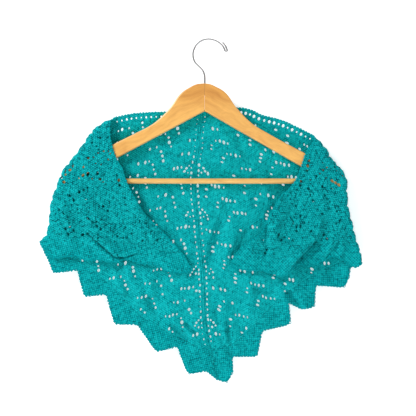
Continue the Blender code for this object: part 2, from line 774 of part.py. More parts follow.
def arm(name, rows, finish):
    """One wooden half of the hanger: a flat board, rounded over but square at the centre seam."""
    outline = rounded_line(rows, ARM_STEP, 5)
    if signed_area(outline) < 0:
        outline = outline[::-1]
    line = np.array(outline)
    before, after = line - np.roll(line, 1, axis=0), np.roll(line, -1, axis=0) - line
    before /= np.linalg.norm(before, axis=1)[:, None]
    after /= np.linalg.norm(after, axis=1)[:, None]
    inward = np.column_stack((-(before + after)[:, 1], (before + after)[:, 0]))
    inward /= np.maximum(1.0, (inward * inward).sum(1) / 2)[:, None]
    at_seam = np.abs(line[:, 0] - rows[0][0]) < 1e-6
    inward[at_seam, 0] = 0.0
    count = len(line)
    points, faces = [], []
    turns = (90.0, 45.0, 0.0)
    layers = [(-1, t) for t in turns] + [(1, t) for t in reversed(turns)]
    for face_side, degrees in layers:
        lean = math.radians(degrees)
        ring = line + inward * WOOD_ROUND * (1 - math.cos(lean))
        y = face_side * (WOOD_DEPTH / 2 - WOOD_ROUND * (1 - math.sin(lean)))
        points += [(x, y, z) for x, z in ring]
    for i in range(len(layers) - 1):
        for k in range(count):
            a, b = i * count + k, i * count + (k + 1) % count
            faces.append((a, b, b + count, a + count))
    last = (len(layers) - 1) * count
    faces += [tuple(range(count)), tuple(range(last, last + count))]
    return add_object(name, points, faces, finish)


def bore(name, start, stop, radius, bodies):
    """Drills a round hole through bodies, from start to stop in millimetres."""
    start, stop = Vector(start), Vector(stop)
    mesh = bpy.data.meshes.new(name)
    shape = bmesh.new()
    size, length = radius * MM, (stop - start).length * MM
    bmesh.ops.create_cone(shape, cap_ends=True, segments=16, radius1=size, radius2=size, depth=length)
    turn = (stop - start).to_track_quat("Z", "Y").to_matrix()
    bmesh.ops.rotate(shape, verts=shape.verts, matrix=turn)
    bmesh.ops.translate(shape, verts=shape.verts, vec=(start + stop) / 2 * MM)
    shape.to_mesh(mesh)
    shape.free()
    cutter = bpy.data.objects.new(name, mesh)
    cutter.hide_render = True
    cutter.display_type = "WIRE"
    bpy.context.scene.collection.objects.link(cutter)
    for body in bodies:
        cut = body.modifiers.new(name, "BOOLEAN")
        cut.operation = "DIFFERENCE"
        cut.object = cutter


def hanger(wood, bar_wood, steel):
    """The hook, the two wooden halves and the trouser bar."""
    tube("hook", hook_path(), WIRE / 2, 10, steel)
    left, right = arm("arm_left", LEFT_ARM, wood), arm("arm_right", RIGHT_ARM, wood)
    foot, mouth = (STEM_X, 0.0, STEM_FOOT_Z - GAP), (STEM_X, 0.0, STEM_BORE_TOP_Z)
    bore("stem_bore", foot, mouth, WIRE / 2 + GAP, (left, right))
    hole = BAR_DIAMETER / 2 + GAP
    foot, mouth = (BAR_LEFT_X - GAP, 0.0, BAR_Z), (BAR_LEFT_X + BAR_BORE_DEPTH, 0.0, BAR_Z)
    bore("bar_bore_left", foot, mouth, hole, (left,))
    foot, mouth = (BAR_RIGHT_X + GAP, 0.0, BAR_Z), (BAR_RIGHT_X - BAR_BORE_DEPTH, 0.0, BAR_Z)
    bore("bar_bore_right", foot, mouth, hole, (right,))
    bar = [(x, BAR_Z) for x in np.linspace(BAR_LEFT_X, BAR_RIGHT_X, 3)]
    tube("trouser_bar", bar, BAR_DIAMETER / 2, 16, bar_wood)


def main():
    """Clears the scene and builds every piece."""
    for old in list(bpy.data.objects):
        bpy.data.objects.remove(old, do_unlink=True)
    yarn = material("turquoise_yarn", YARN, 0.85)
    edging = material("turquoise_garter", EDGING_YARN, 0.85)
    wood, bar_wood = material("hanger_wood", WOOD, 0.45), material("bar_wood", BAR_WOOD, 0.4)
    hanger(wood, bar_wood, material("steel_wire", STEEL, 0.25, 1.0))
    for half in (LEFT, RIGHT):
        back_panels(half, yarn, edging)
        wing_panels(half, yarn, edging)
    spine_strip(yarn)


main()
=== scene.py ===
"""Looks of a turquoise knitted lace shawl that hangs folded over a wooden coat hanger.

Tables and plans are in millimetres in the hanger's plane (X to the right, Z up); meshes are in metres.
"""

import logging
import math
from dataclasses import dataclass, field
from enum import Enum

import bpy
import numpy as np
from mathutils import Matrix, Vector
from mathutils.geometry import delaunay_2d_cdt


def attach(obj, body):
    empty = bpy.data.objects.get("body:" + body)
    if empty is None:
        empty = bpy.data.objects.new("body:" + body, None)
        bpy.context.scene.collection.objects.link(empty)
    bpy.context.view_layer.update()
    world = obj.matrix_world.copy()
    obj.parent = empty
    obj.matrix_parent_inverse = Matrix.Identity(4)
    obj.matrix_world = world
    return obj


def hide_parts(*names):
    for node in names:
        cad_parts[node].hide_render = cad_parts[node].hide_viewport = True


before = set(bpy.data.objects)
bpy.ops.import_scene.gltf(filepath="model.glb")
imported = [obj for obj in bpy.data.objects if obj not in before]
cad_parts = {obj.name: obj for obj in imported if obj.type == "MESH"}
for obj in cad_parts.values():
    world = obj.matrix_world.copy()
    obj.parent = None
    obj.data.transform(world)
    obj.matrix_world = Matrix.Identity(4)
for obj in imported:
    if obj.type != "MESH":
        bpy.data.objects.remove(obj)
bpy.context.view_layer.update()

LOG = logging.getLogger("shawl")
MM = 0.001
Row = tuple[float, ...]
Table = tuple[Row, ...]


class Layer(Enum):
    """Where a panel of the shawl lies."""

    BACK = "back"
    WING = "wing"


class Trim(Enum):
    """What runs along an edge of the knitting."""

    NAP = "nap"
    PICOT = "picot"
    SELVEDGE = "selvedge"


# Lines in the plane


def smoothstep(value: np.ndarray | float) -> np.ndarray:
    """0 below 0, 1 above 1 and a smooth rise between."""
    t = np.clip(value, 0.0, 1.0)
    return t * t * (3.0 - 2.0 * t)


def curve_value(rows: Table, places: np.ndarray) -> np.ndarray:
    """Reads a smooth curve.

    Args:
        rows: places and values on the curve.
        places: where it is read; it is held flat outside the table.

    Returns:
        The values there.
    """
    table = np.array(rows)
    x, y = table[:, 0], table[:, 1]
    slope = np.zeros(len(x))
    slope[1:-1] = (y[2:] - y[:-2]) / (x[2:] - x[:-2])
    at = np.clip(places, x[0], x[-1])
    i = np.clip(np.searchsorted(x, at, side="right") - 1, 0, len(x) - 2)
    run = x[i + 1] - x[i]
    t = (at - x[i]) / run
    rise = (2 * t**3 - 3 * t**2 + 1) * y[i] + (3 * t**2 - 2 * t**3) * y[i + 1]
    return rise + run * ((t**3 - 2 * t**2 + t) * slope[i] + (t**3 - t**2) * slope[i + 1])


def smooth_line(points: list, step: float) -> list[np.ndarray]:
    """Points about a step apart on a smooth curve through the given ones."""
    p = [np.array(q, float) for q in points]
    p = [2 * p[0] - p[1], *p, 2 * p[-1] - p[-2]]
    line = []
    for a, b, c, d in zip(p, p[1:], p[2:], p[3:]):
        count = max(1, round(float(np.linalg.norm(c - b)) / step))
        slope, bend, twist = c - a, 2 * a - 5 * b + 4 * c - d, 3 * b - a - 3 * c + d
        line += [b + 0.5 * (slope * t + bend * t**2 + twist * t**3) for t in np.arange(count) / count]
    return [*line, p[-2]]


def between(start: np.ndarray, stop: np.ndarray, step: float) -> list[np.ndarray]:
    """Evenly spaced points between two others, without them."""
    count = max(1, round(float(np.linalg.norm(stop - start)) / step))
    return [start + (stop - start) * i / count for i in range(1, count)]


def rounded_line(rows: list, step: float, arc_steps: int = 5) -> list[np.ndarray]:
    """A line of straight sides whose inner corners are rounded. Columns: X, Z, radius."""
    corners = [np.array(row[:2], float) for row in rows]
    line = [corners[0]]
    for before, here, after, row in zip(corners, corners[1:], corners[2:], rows[1:]):
        back, on = before - here, after - here
        reach = min(row[2], 0.45 * np.linalg.norm(back), 0.45 * np.linalg.norm(on))
        start = here + back / np.linalg.norm(back) * reach
        stop = here + on / np.linalg.norm(on) * reach
        line += between(line[-1], start, step)
        for t in np.linspace(0.0, 1.0, arc_steps + 1):
            line.append((1 - t) ** 2 * start + 2 * t * (1 - t) * here + t**2 * stop)
    line += between(line[-1], corners[-1], step)
    return [*line, corners[-1]]


def ring_distances(ring: np.ndarray, places: np.ndarray) -> np.ndarray:
    """Each place's distance to the nearest side of a closed ring."""
    run = np.roll(ring, -1, axis=0) - ring
    found = np.full(len(places), 1e6)
    for first in range(0, len(places), 4000):
        part = places[first : first + 4000]
        offset = part[:, None, :] - ring[None]
        t = np.clip((offset * run).sum(2) / (run * run).sum(1), 0.0, 1.0)
        found[first : first + 4000] = np.linalg.norm(offset - t[..., None] * run, axis=2).min(1)
    return found


def inside_ring(ring: np.ndarray, places: np.ndarray) -> np.ndarray:
    """Which places lie inside a closed ring."""
    b = np.roll(ring, -1, axis=0)
    rise = np.where(b[:, 1] == ring[:, 1], 1.0, b[:, 1] - ring[:, 1])
    x, z = places[:, None, 0], places[:, None, 1]
    spans = (ring[:, 1] > z) != (b[:, 1] > z)
    cross = ring[:, 0] + (z - ring[:, 1]) * (b[:, 0] - ring[:, 0]) / rise
    return (spans & (x < cross)).sum(1) % 2 == 1


def signed_area(ring: np.ndarray) -> float:
    """Twice the area inside a ring, above 0 when it runs anticlockwise."""
    x, z = np.array(ring).T
    return float(np.sum(x * np.roll(z, -1) - np.roll(x, -1) * z))


def folds(rows: Table, plane: np.ndarray) -> np.ndarray:
    """How far the soft ridges and troughs in a table stand out. Columns: X, Z, X, Z, half width, height."""
    cubes = np.zeros(len(plane))
    for x0, z0, x1, z1, width, rise in rows:
        start, run = np.array((x0, z0)), np.array((x1 - x0, z1 - z0))
        t = np.clip((plane - start) @ run / (run @ run), 0.0, 1.0)
        away = np.linalg.norm(plane - start - t[:, None] * run, axis=1)
        cubes += (rise * np.exp(-((away / width) ** 2))) ** 3
    return np.cbrt(cubes)


# Where an overhanging fold's lip starts outside its line, how wide it is, and over what length the fold's ends sink
LIP_START, LIP_WIDTH, STEP_END = 1.0, 2.2, 4.0


def steps(rows: Table, plane: np.ndarray) -> np.ndarray:
    """How far overhanging folds stand out. Columns: X, Z, X, Z, width, height."""
    rise = np.zeros(len(plane))
    for x0, z0, x1, z1, width, height in rows:
        start, run = np.array((x0, z0)), np.array((x1 - x0, z1 - z0))
        length = float(np.linalg.norm(run))
        way = run / length
        along = (plane - start) @ way
        off = (plane - start) @ np.array((-way[1], way[0]))
        before, after = np.clip(-along, 0.0, None), np.clip(along - length, 0.0, None)
        ends = np.exp(-((before / STEP_END) ** 2) - (after / STEP_END) ** 2)
        side = smoothstep((off + LIP_START) / LIP_WIDTH) * np.exp(-((np.clip(off, 0.0, None) / width) ** 2))
        rise = np.maximum(rise, height * side * ends)
    return rise


# The shawl's form

# The centre spine's path down the back. Columns: X, Z
SPINE: Table = (
    (-9.5, -107.0), (-13.0, -140.0), (-15.5, -172.0), (-20.5, -200.0), (-21.0, -240.0), (-18.0, -270.0),
    (-13.5, -315.0), (-8.0, -370.0), (-6.5, -420.0), (-1.0, -470.0), (8.0, -503.0),
)

# Broad folds of the hanging cloth. Columns: start X, start Z, end X, end Z, half width, height
BACK_FOLDS: Table = (
    (-60.0, -130.0, -75.0, -200.0, 16.0, 3.0), (60.0, -125.0, 95.0, -190.0, 16.0, 3.0),
    (20.0, -300.0, 2.0, -350.0, 12.0, 3.4), (-120.0, -250.0, -150.0, -330.0, 20.0, 3.5),
    (105.0, -240.0, 150.0, -320.0, 20.0, 3.5), (-70.0, -380.0, -95.0, -440.0, 15.0, 4.5),
    (-30.0, -430.0, -45.0, -475.0, 13.0, 4.0), (-150.0, -350.0, -172.0, -398.0, 14.0, 4.0),
    (45.0, -420.0, 60.0, -480.0, 14.0, 4.5), (95.0, -390.0, 112.0, -445.0, 14.0, 4.0),
    (150.0, -345.0, 162.0, -400.0, 13.0, 4.0), (185.0, -320.0, 200.0, -375.0, 13.0, 3.5),
    (6.0, -450.0, 16.0, -520.0, 12.0, 4.0),
)
# Creases of the back, towards the viewer above 0 and away below it
BACK_CREASES: Table = (
    (22.0, -283.0, 2.0, -345.0, 8.0, -3.4), (40.0, -300.0, 24.0, -352.0, 6.0, 1.6),
    (-62.0, -352.0, -98.0, -330.0, 7.0, -1.8), (-34.0, -446.0, -14.0, -462.0, 4.0, -2.2),
    (-62.0, -404.0, -48.0, -412.0, 4.0, -1.8), (60.0, -352.0, 66.0, -430.0, 8.0, 1.6),
    (-92.0, -360.0, -84.0, -420.0, 8.0, 1.5), (88.0, -392.0, 120.0, -370.0, 6.0, -1.6),
    (-120.0, -352.0, -132.0, -392.0, 7.0, 1.4), (4.0, -398.0, 14.0, -452.0, 6.0, -1.6),
    (-81.0, -430.0, -71.0, -435.0, 4.0, -2.6), (-56.0, -449.0, -34.0, -468.0, 4.5, -4.2),
    (-50.0, -440.0, -24.0, -462.0, 5.0, 2.4), (13.0, -420.0, 17.0, -462.0, 5.0, -3.4),
    (17.0, -462.0, 35.0, -489.0, 5.0, -4.0), (30.0, -452.0, 35.0, -480.0, 4.0, -3.0),
    (24.0, -440.0, 27.0, -472.0, 4.5, 2.4), (78.0, -390.0, 99.0, -396.0, 6.0, -3.4),
    (126.0, -394.0, 142.0, -412.0, 5.0, -3.6), (112.0, -388.0, 134.0, -384.0, 8.0, 2.4),
    (-140.0, -352.0, -122.0, -398.0, 8.0, -2.6), (-128.0, -352.0, -108.0, -402.0, 8.0, 2.2),
    (-92.0, -404.0, -70.0, -452.0, 7.0, -2.6), (-118.0, -150.0, -96.0, -196.0, 11.0, -2.4),
    (-94.0, -148.0, -52.0, -176.0, 11.0, 2.2), (-60.0, -176.0, -28.0, -196.0, 9.0, -2.4),
    (-58.0, -236.0, -30.0, -262.0, 9.0, -2.2), (-96.0, -238.0, -72.0, -292.0, 9.0, 2.2),
    (40.0, -146.0, 66.0, -182.0, 10.0, -2.4), (20.0, -190.0, 62.0, -214.0, 9.0, 2.2),
    (62.0, -226.0, 30.0, -262.0, 9.0, -2.2), (84.0, -206.0, 96.0, -246.0, 9.0, 2.0),
    (60.0, -300.0, 46.0, -340.0, 8.0, -2.6), (-28.0, -320.0, -40.0, -372.0, 8.0, 2.0),
)
LEFT_WING_CREASES: Table = (
    (-209.0, -240.0, -190.0, -257.0, 4.5, -3.0), (-190.0, -257.0, -171.0, -289.0, 4.0, -3.0),
    (-185.0, -303.0, -161.0, -324.0, 3.2, -4.0), (-161.0, -324.0, -146.0, -337.0, 3.0, -4.6),
    (-146.0, -337.0, -134.0, -338.0, 3.0, -4.2), (-134.0, -338.0, -115.0, -333.0, 2.6, -3.0),
    (-176.0, -316.0, -152.0, -336.0, 4.5, 2.4), (-231.0, -263.0, -217.0, -302.0, 4.5, -2.6),
    (-224.0, -258.0, -210.0, -298.0, 5.0, 1.8), (-64.0, -333.0, -50.0, -332.0, 2.4, -2.0),
    (-128.0, -250.0, -96.0, -300.0, 6.0, -1.4), (-112.0, -262.0, -84.0, -306.0, 5.0, 1.6),
    (-196.0, -196.0, -206.0, -226.0, 6.0, -1.8), (-168.0, -196.0, -178.0, -232.0, 7.0, 1.4),
    (-240.0, -226.0, -232.0, -252.0, 5.0, -1.6),
)
RIGHT_WING_CREASES: Table = (
    (89.0, -294.0, 89.0, -330.0, 7.0, -3.4), (173.0, -298.0, 158.0, -320.0, 4.0, 2.6),
    (166.0, -314.0, 146.0, -336.0, 4.5, -3.6), (146.0, -336.0, 132.0, -352.0, 4.0, -5.0),
    (156.0, -322.0, 132.0, -344.0, 3.4, 2.6), (200.0, -316.0, 183.0, -338.0, 5.0, -3.0),
    (115.0, -308.0, 135.0, -319.0, 5.0, -2.4), (212.0, -300.0, 206.0, -336.0, 5.0, 2.0),
    (182.0, -230.0, 190.0, -262.0, 6.0, -1.6), (120.0, -262.0, 104.0, -292.0, 6.0, 1.6),
    (150.0, -226.0, 134.0, -262.0, 6.0, -1.4),
)

# Where a fold hangs over the cloth below it: the side left of the line stands out, and sinks back over the width.
# Columns: start X, start Z, end X, end Z, width, height
LEFT_WING_STEPS: Table = (
    (-190.0, -298.0, -161.0, -324.0, 18.0, 6.4), (-161.0, -324.0, -145.0, -337.0, 18.0, 7.4),
    (-145.0, -337.0, -131.0, -338.0, 18.0, 7.4), (-131.0, -338.0, -113.0, -333.0, 16.0, 5.6),
    (-232.0, -262.0, -217.0, -300.0, 12.0, 3.4), (-209.0, -240.0, -190.0, -257.0, 12.0, 3.2),
    (-190.0, -257.0, -171.0, -289.0, 12.0, 3.6),
)
RIGHT_WING_STEPS: Table = (
    (131.0, -353.0, 147.0, -336.0, 16.0, 7.4), (147.0, -336.0, 166.0, -314.0, 16.0, 5.8),
    (183.0, -339.0, 201.0, -314.0, 13.0, 3.6), (89.0, -331.0, 89.0, -293.0, 13.0, 3.4),
)

# One pixel of the photo in millimetres, and the pixel at the underside of the hook's crown
MM_PER_PIXEL = 1.56
CROWN_PIXEL = (208, 40.3)
# How much wider and higher an eyelet is than the part of it that the fibres leave clear
CLEAR_WIDTH, CLEAR_HEIGHT = 1.2, 1.15


def from_photo(rows: Table) -> Table:
    """Places eyelets that were read off the photo.

    Args:
        rows: pixel across and down, clear width and height in millimetres, and lean in degrees.

    Returns:
        X, Z, width and height to a tenth of a millimetre, and lean in degrees.
    """
    crown_x, crown_y = CROWN_PIXEL
    return tuple(
        (
            round((x - crown_x) * MM_PER_PIXEL, 1),
            round((crown_y - y) * MM_PER_PIXEL, 1),
            round(wide * CLEAR_WIDTH, 1),
            round(high * CLEAR_HEIGHT, 1),
            float(lean),
        )
        for x, y, wide, high, lean in rows
    )


# Eyelets of the wings, drawn narrow by the folds. Columns: pixel across and down, width, height, lean in degrees
LEFT_WING_EYELETS: Table = (
    (70.6, 170.4, 6.3, 5.7, 20), (66.6, 167.0, 3.3, 3.3, 0), (73.6, 166.4, 3.0, 3.4, 0), (61.8, 177.7, 5.7, 6.1, -20),
    (64.6, 182.4, 3.7, 3.65, 0), (66.0, 175.0, 3.0, 2.8, 30), (100.8, 179.6, 4.0, 3.8, 0),
    (103.9, 182.4, 3.4, 3.0, 0), (119.2, 180.7, 3.5, 4.2, 0), (94.3, 157.8, 3.4, 2.8, 20),
    (108.8, 160.0, 3.0, 3.8, 0), (104.2, 151.7, 3.8, 2.8, 20), (89.0, 158.6, 3.2, 2.8, 0), (84.0, 167.4, 3.0, 2.8, 0),
    (98.6, 153.4, 2.8, 2.6, 0), (88.6, 174.6, 3.8, 6.1, -20), (83.7, 175.8, 3.5, 4.7, -30),
    (79.6, 178.6, 2.8, 3.4, -30), (88.3, 188.0, 3.4, 3.4, -40), (84.7, 190.3, 3.4, 3.4, -40),
    (80.5, 192.6, 3.2, 3.2, -40), (98.5, 174.2, 2.8, 4.8, -10), (117.6, 176.2, 2.6, 3.4, 0),
    (120.3, 185.7, 3.0, 4.0, 20), (122.2, 190.0, 2.8, 3.6, 20), (113.8, 198.3, 2.4, 3.6, 10),
    (97.4, 194.9, 2.6, 3.6, -30), (102.0, 189.0, 2.4, 3.4, -30), (106.5, 184.6, 2.2, 3.0, -20),
    (60.0, 209.8, 2.2, 5.0, 40), (64.8, 213.8, 2.2, 5.4, 40), (68.9, 217.4, 2.2, 4.6, 40),
    (56.8, 221.4, 3.4, 2.2, 10), (66.4, 229.0, 2.4, 4.8, 30), (68.9, 234.6, 2.6, 5.2, 20),
    (74.5, 230.6, 2.2, 4.0, 30), (78.5, 236.4, 3.4, 3.0, 10), (83.0, 235.0, 4.8, 3.2, 10),
    (88.0, 233.6, 3.4, 2.6, 10), (89.0, 218.6, 2.4, 5.0, 45), (93.4, 222.2, 2.4, 4.8, 45),
    (97.4, 226.2, 2.4, 4.6, 40), (101.7, 229.4, 2.2, 4.4, 35), (114.5, 232.2, 2.4, 3.4, 0),
    (118.0, 236.4, 2.4, 3.2, -20), (125.7, 227.4, 2.2, 3.4, 0), (121.0, 244.3, 3.4, 2.2, 0),
    (125.9, 244.3, 3.4, 2.4, 0), (132.0, 247.5, 2.8, 3.0, -30), (129.0, 250.9, 2.8, 2.4, 0),
    (132.0, 233.8, 2.6, 3.4, 20), (136.0, 217.4, 2.2, 3.8, 25), (140.2, 221.2, 3.0, 3.6, 30),
    (146.4, 223.2, 4.6, 2.2, 10), (149.0, 227.4, 4.6, 2.2, 5), (151.8, 231.4, 4.4, 2.2, 5),
    (146.4, 233.8, 3.8, 2.2, 20), (151.4, 247.0, 2.4, 4.4, -35), (154.6, 243.6, 2.4, 4.6, -35),
    (157.8, 240.0, 2.6, 4.6, -35), (143.0, 240.6, 2.2, 3.8, -35), (146.2, 237.8, 2.2, 3.4, -35),
    (162.6, 247.0, 2.0, 3.4, -30), (126.0, 205.0, 2.4, 4.2, 15), (128.0, 210.6, 2.4, 4.2, 15),
    (130.4, 215.6, 2.2, 3.8, 20), (108.4, 211.0, 2.4, 3.4, 20), (104.0, 206.6, 2.4, 3.2, 20),
    (92.4, 203.0, 2.4, 3.8, -35), (74.6, 200.4, 2.2, 4.2, 30), (78.2, 205.2, 2.2, 4.4, 35),
    (70.6, 196.0, 2.2, 3.8, 25), (92.8, 143.0, 2.6, 3.2, 0), (101.0, 138.6, 2.4, 3.0, 0), (97.2, 146.8, 2.4, 2.8, 10),
)
RIGHT_WING_EYELETS: Table = (
    (331.6, 181.3, 3.5, 4.9, 40), (334.9, 183.2, 3.5, 4.9, 40), (338.2, 185.2, 3.5, 4.9, 40),
    (341.3, 187.2, 3.3, 4.35, 40), (308.8, 161.0, 3.5, 4.7, 0), (307.3, 166.3, 3.5, 4.7, 0),
    (306.4, 171.4, 2.8, 3.4, 0), (322.5, 170.5, 3.7, 4.2, 20), (319.2, 174.2, 3.2, 3.4, 20),
    (326.4, 167.8, 2.6, 2.8, 0), (300.5, 181.6, 3.4, 3.0, 0), (303.6, 176.6, 3.0, 4.0, 0),
    (300.0, 185.6, 4.6, 4.4, 0), (296.2, 189.8, 3.6, 3.8, -20), (291.0, 192.4, 2.8, 3.8, -35),
    (288.0, 196.0, 2.6, 3.8, -35), (282.0, 200.4, 3.6, 4.4, -35), (295.5, 206.0, 3.2, 4.6, 0),
    (315.8, 176.7, 2.6, 3.4, 0), (321.7, 187.0, 2.6, 4.0, 20), (326.4, 199.0, 4.2, 3.4, 0),
    (329.4, 202.0, 3.0, 2.6, 0), (322.0, 214.0, 3.0, 4.0, 15), (324.6, 218.0, 2.8, 3.4, 15),
    (323.5, 234.6, 2.8, 4.2, 10), (326.2, 239.0, 3.0, 4.4, 10), (300.2, 216.0, 2.8, 4.2, 0),
    (279.6, 229.4, 3.4, 4.6, 0), (278.6, 235.0, 2.6, 4.0, 0), (281.0, 240.4, 2.4, 4.2, -30),
    (284.2, 237.2, 2.4, 4.2, -30), (288.6, 238.6, 4.2, 2.4, -25), (293.0, 241.0, 4.6, 2.4, -25),
    (336.0, 224.0, 2.4, 4.4, -35), (339.4, 220.6, 2.4, 4.2, -35), (345.4, 243.4, 4.0, 2.4, 20),
    (341.6, 242.0, 3.6, 2.2, 0), (308.4, 189.0, 2.4, 4.6, 15), (310.0, 195.0, 2.4, 4.4, 15),
    (312.4, 200.6, 2.2, 4.2, 15), (288.6, 212.6, 2.4, 4.4, -20), (286.6, 218.0, 2.4, 4.4, -20),
    (304.0, 223.0, 2.2, 5.4, 0), (300.4, 226.4, 2.2, 5.0, 10), (296.4, 227.0, 2.2, 4.8, -10),
    (292.8, 224.0, 2.2, 4.4, -30), (314.0, 226.6, 2.2, 4.2, -35), (317.4, 222.4, 2.2, 4.2, -35),
    (310.6, 231.2, 2.2, 4.0, -35), (334.0, 206.0, 2.4, 4.0, 20), (336.4, 211.4, 2.4, 4.0, 20),
    (332.4, 238.0, 2.2, 3.8, 30), (272.6, 221.6, 2.2, 3.8, -35), (316.6, 153.4, 2.4, 3.4, 20),
    (312.0, 148.0, 2.4, 3.2, 20), (329.0, 157.4, 2.4, 3.0, 20), (334.8, 168.0, 2.4, 3.2, 20),
)


@dataclass(frozen=True)
class HalfShape:
    """One half of the shawl as it hangs, on the picture's left (side -1) or right (side 1)."""

    name: str
    side: int
    fold_top: Row
    fold_foot: Row
    bulge: Table
    top_edge: Table
    back_hem: Table
    back_seam: Table
    wing_edge: Table
    wing_hem: Table
    wing_seam: Table
    wing_folds: Table
    wing_creases: Table
    wing_steps: Table
    wing_eyelets: Table
    back_fold_end: float
    wing_seam_at: float
    back_seam_at: float
    motif_start: Row
    motif_down: Row
    motif_across: Row
    motif: Table
    picot_sides: tuple[int, ...]
    hanger_half_depth: float = 8.0
    hem_half_depth: float = 4.4
    scallop_pitch: float = 19.0
    scallop_depth: float = 2.4
    scallop_drift: Row = (4.0, 31.0)
    loop_run: float = 1.25
    loop_drift: Row = (2.0, 23.0)
    loop_height: float = 0.3
    back_crease_share: float = 1.6
    wing_crease_share: float = 1.5
    clear_of_bar_z: float = -236.0
    hem_depth_z: float = -330.0
    fold_fade: float = 30.0

    def half_depth(self, z: np.ndarray) -> np.ndarray:
        """Half the distance between the back and a wing at heights Z."""
        drop = smoothstep((self.clear_of_bar_z - z) / (self.clear_of_bar_z - self.hem_depth_z))
        return self.hanger_half_depth + (self.hem_half_depth - self.hanger_half_depth) * drop

    def axes(self) -> tuple[np.ndarray, np.ndarray]:
        """The directions down the chord of the side fold and outwards from it."""
        down = np.subtract(self.fold_foot, self.fold_top)
        down = down / np.linalg.norm(down)
        return down, self.side * np.array((-down[1], down[0]))

    def index(self) -> int:
        """0 for the left half and 1 for the right one."""
        return (self.side + 1) // 2

    def fold_turn(self) -> float:
        """How far the side fold turns a direction of the back's plan when it falls on the wing, in degrees."""
        return 2 * math.degrees(math.atan2(*self.axes()[0][::-1]))

    def crest(self, along: np.ndarray) -> np.ndarray:
        """How far the side fold stands out from its chord, with a slight scallop at each repeat of the lace."""
        drift = self.scallop_drift[0] * np.sin(along / self.scallop_drift[1])
        scallop = 1.0 - np.abs(np.sin(math.pi * (along + drift) / self.scallop_pitch))
        small = np.sin(along / self.loop_run + self.loop_drift[0] * np.sin(along / self.loop_drift[1]))
        return curve_value(self.bulge, along) - self.scallop_depth * scallop**2 + self.loop_height * small

    def fold_edge(self, along: float) -> np.ndarray:
        """The place in the flat plan of the panels' edge on the side fold."""
        down, out = self.axes()
        place = np.array(self.fold_top) + down * along
        crest = self.crest(np.array([along]))[0]
        depth = self.half_depth((place + out * crest)[1])
        return place + out * (crest + (math.pi / 2 - 1) * depth)

    def fold_side(self, start: float, stop: float, step: float) -> list[np.ndarray]:
        """A panel's edge along the side fold."""
        count = max(2, round(abs(stop - start) / step))
        return [self.fold_edge(along) for along in np.linspace(start, stop, count + 1)]

    def mirrored(self, place: np.ndarray) -> np.ndarray:
        """A place in the back's plan as it falls on the wing, past the side fold."""
        down, out = self.axes()
        offset = place - np.array(self.fold_top)
        return np.array(self.fold_top) + (offset @ down) * down - (offset @ out) * out

    def in_space(self, plane: np.ndarray, layer: Layer) -> np.ndarray:
        """Lays a flat plan over the hanger.

        Args:
            plane: places in the panel's plan.
            layer: whether the panel hangs behind the hanger or in front.

        Returns:
            Places in space, in millimetres.
        """
        down, out = self.axes()
        offset = plane - np.array(self.fold_top)
        along, outward = offset @ down, offset @ out
        depth = self.half_depth(plane[:, 1])
        crest = self.crest(along)
        arc = crest + (math.pi / 2 - 1) * depth - outward
        turn = np.clip(arc / depth, 0.0, math.pi / 2)
        outward = np.where(arc < depth * math.pi / 2, crest - depth * (1 - np.cos(turn)), outward)
        fade = smoothstep(arc / self.fold_fade - 0.2)
        if layer is Layer.WING:
            proud = folds(self.wing_folds, plane) + self.wing_crease_share * folds(self.wing_creases, plane)
            proud += steps(self.wing_steps, plane)
        else:
            proud = folds(BACK_FOLDS, plane) - self.back_crease_share * folds(BACK_CREASES, plane)
        y = depth * np.sin(turn) + proud * fade + self.ripple(plane, layer) * fade
        flat = np.array(self.fold_top) + along[:, None] * down + outward[:, None] * out
        return np.column_stack((flat[:, 0], -y if layer is Layer.WING else y, flat[:, 1]))

    def ripple(self, plane: np.ndarray, layer: Layer) -> np.ndarray:
        """The small unevenness of soft knitting, larger where nothing backs it."""
        x, z = plane[:, 0], plane[:, 1]
        low = smoothstep((-250.0 - z) / 150.0)
        turn = 1.7 if layer is Layer.WING else 0.0
        wave = np.sin(0.105 * x + 0.043 * z + turn) * np.sin(0.071 * z - 0.038 * x + 2.0 * turn)
        fine = np.sin(0.31 * x - 0.12 * z + turn) * np.sin(0.27 * z + 0.09 * x)
        pucker = np.sin(0.6 * x + 0.2 * z + turn) * np.sin(0.53 * z - 0.29 * x)
        return wave * (0.35 + 0.75 * low) + fine * 0.4 + pucker * 0.45


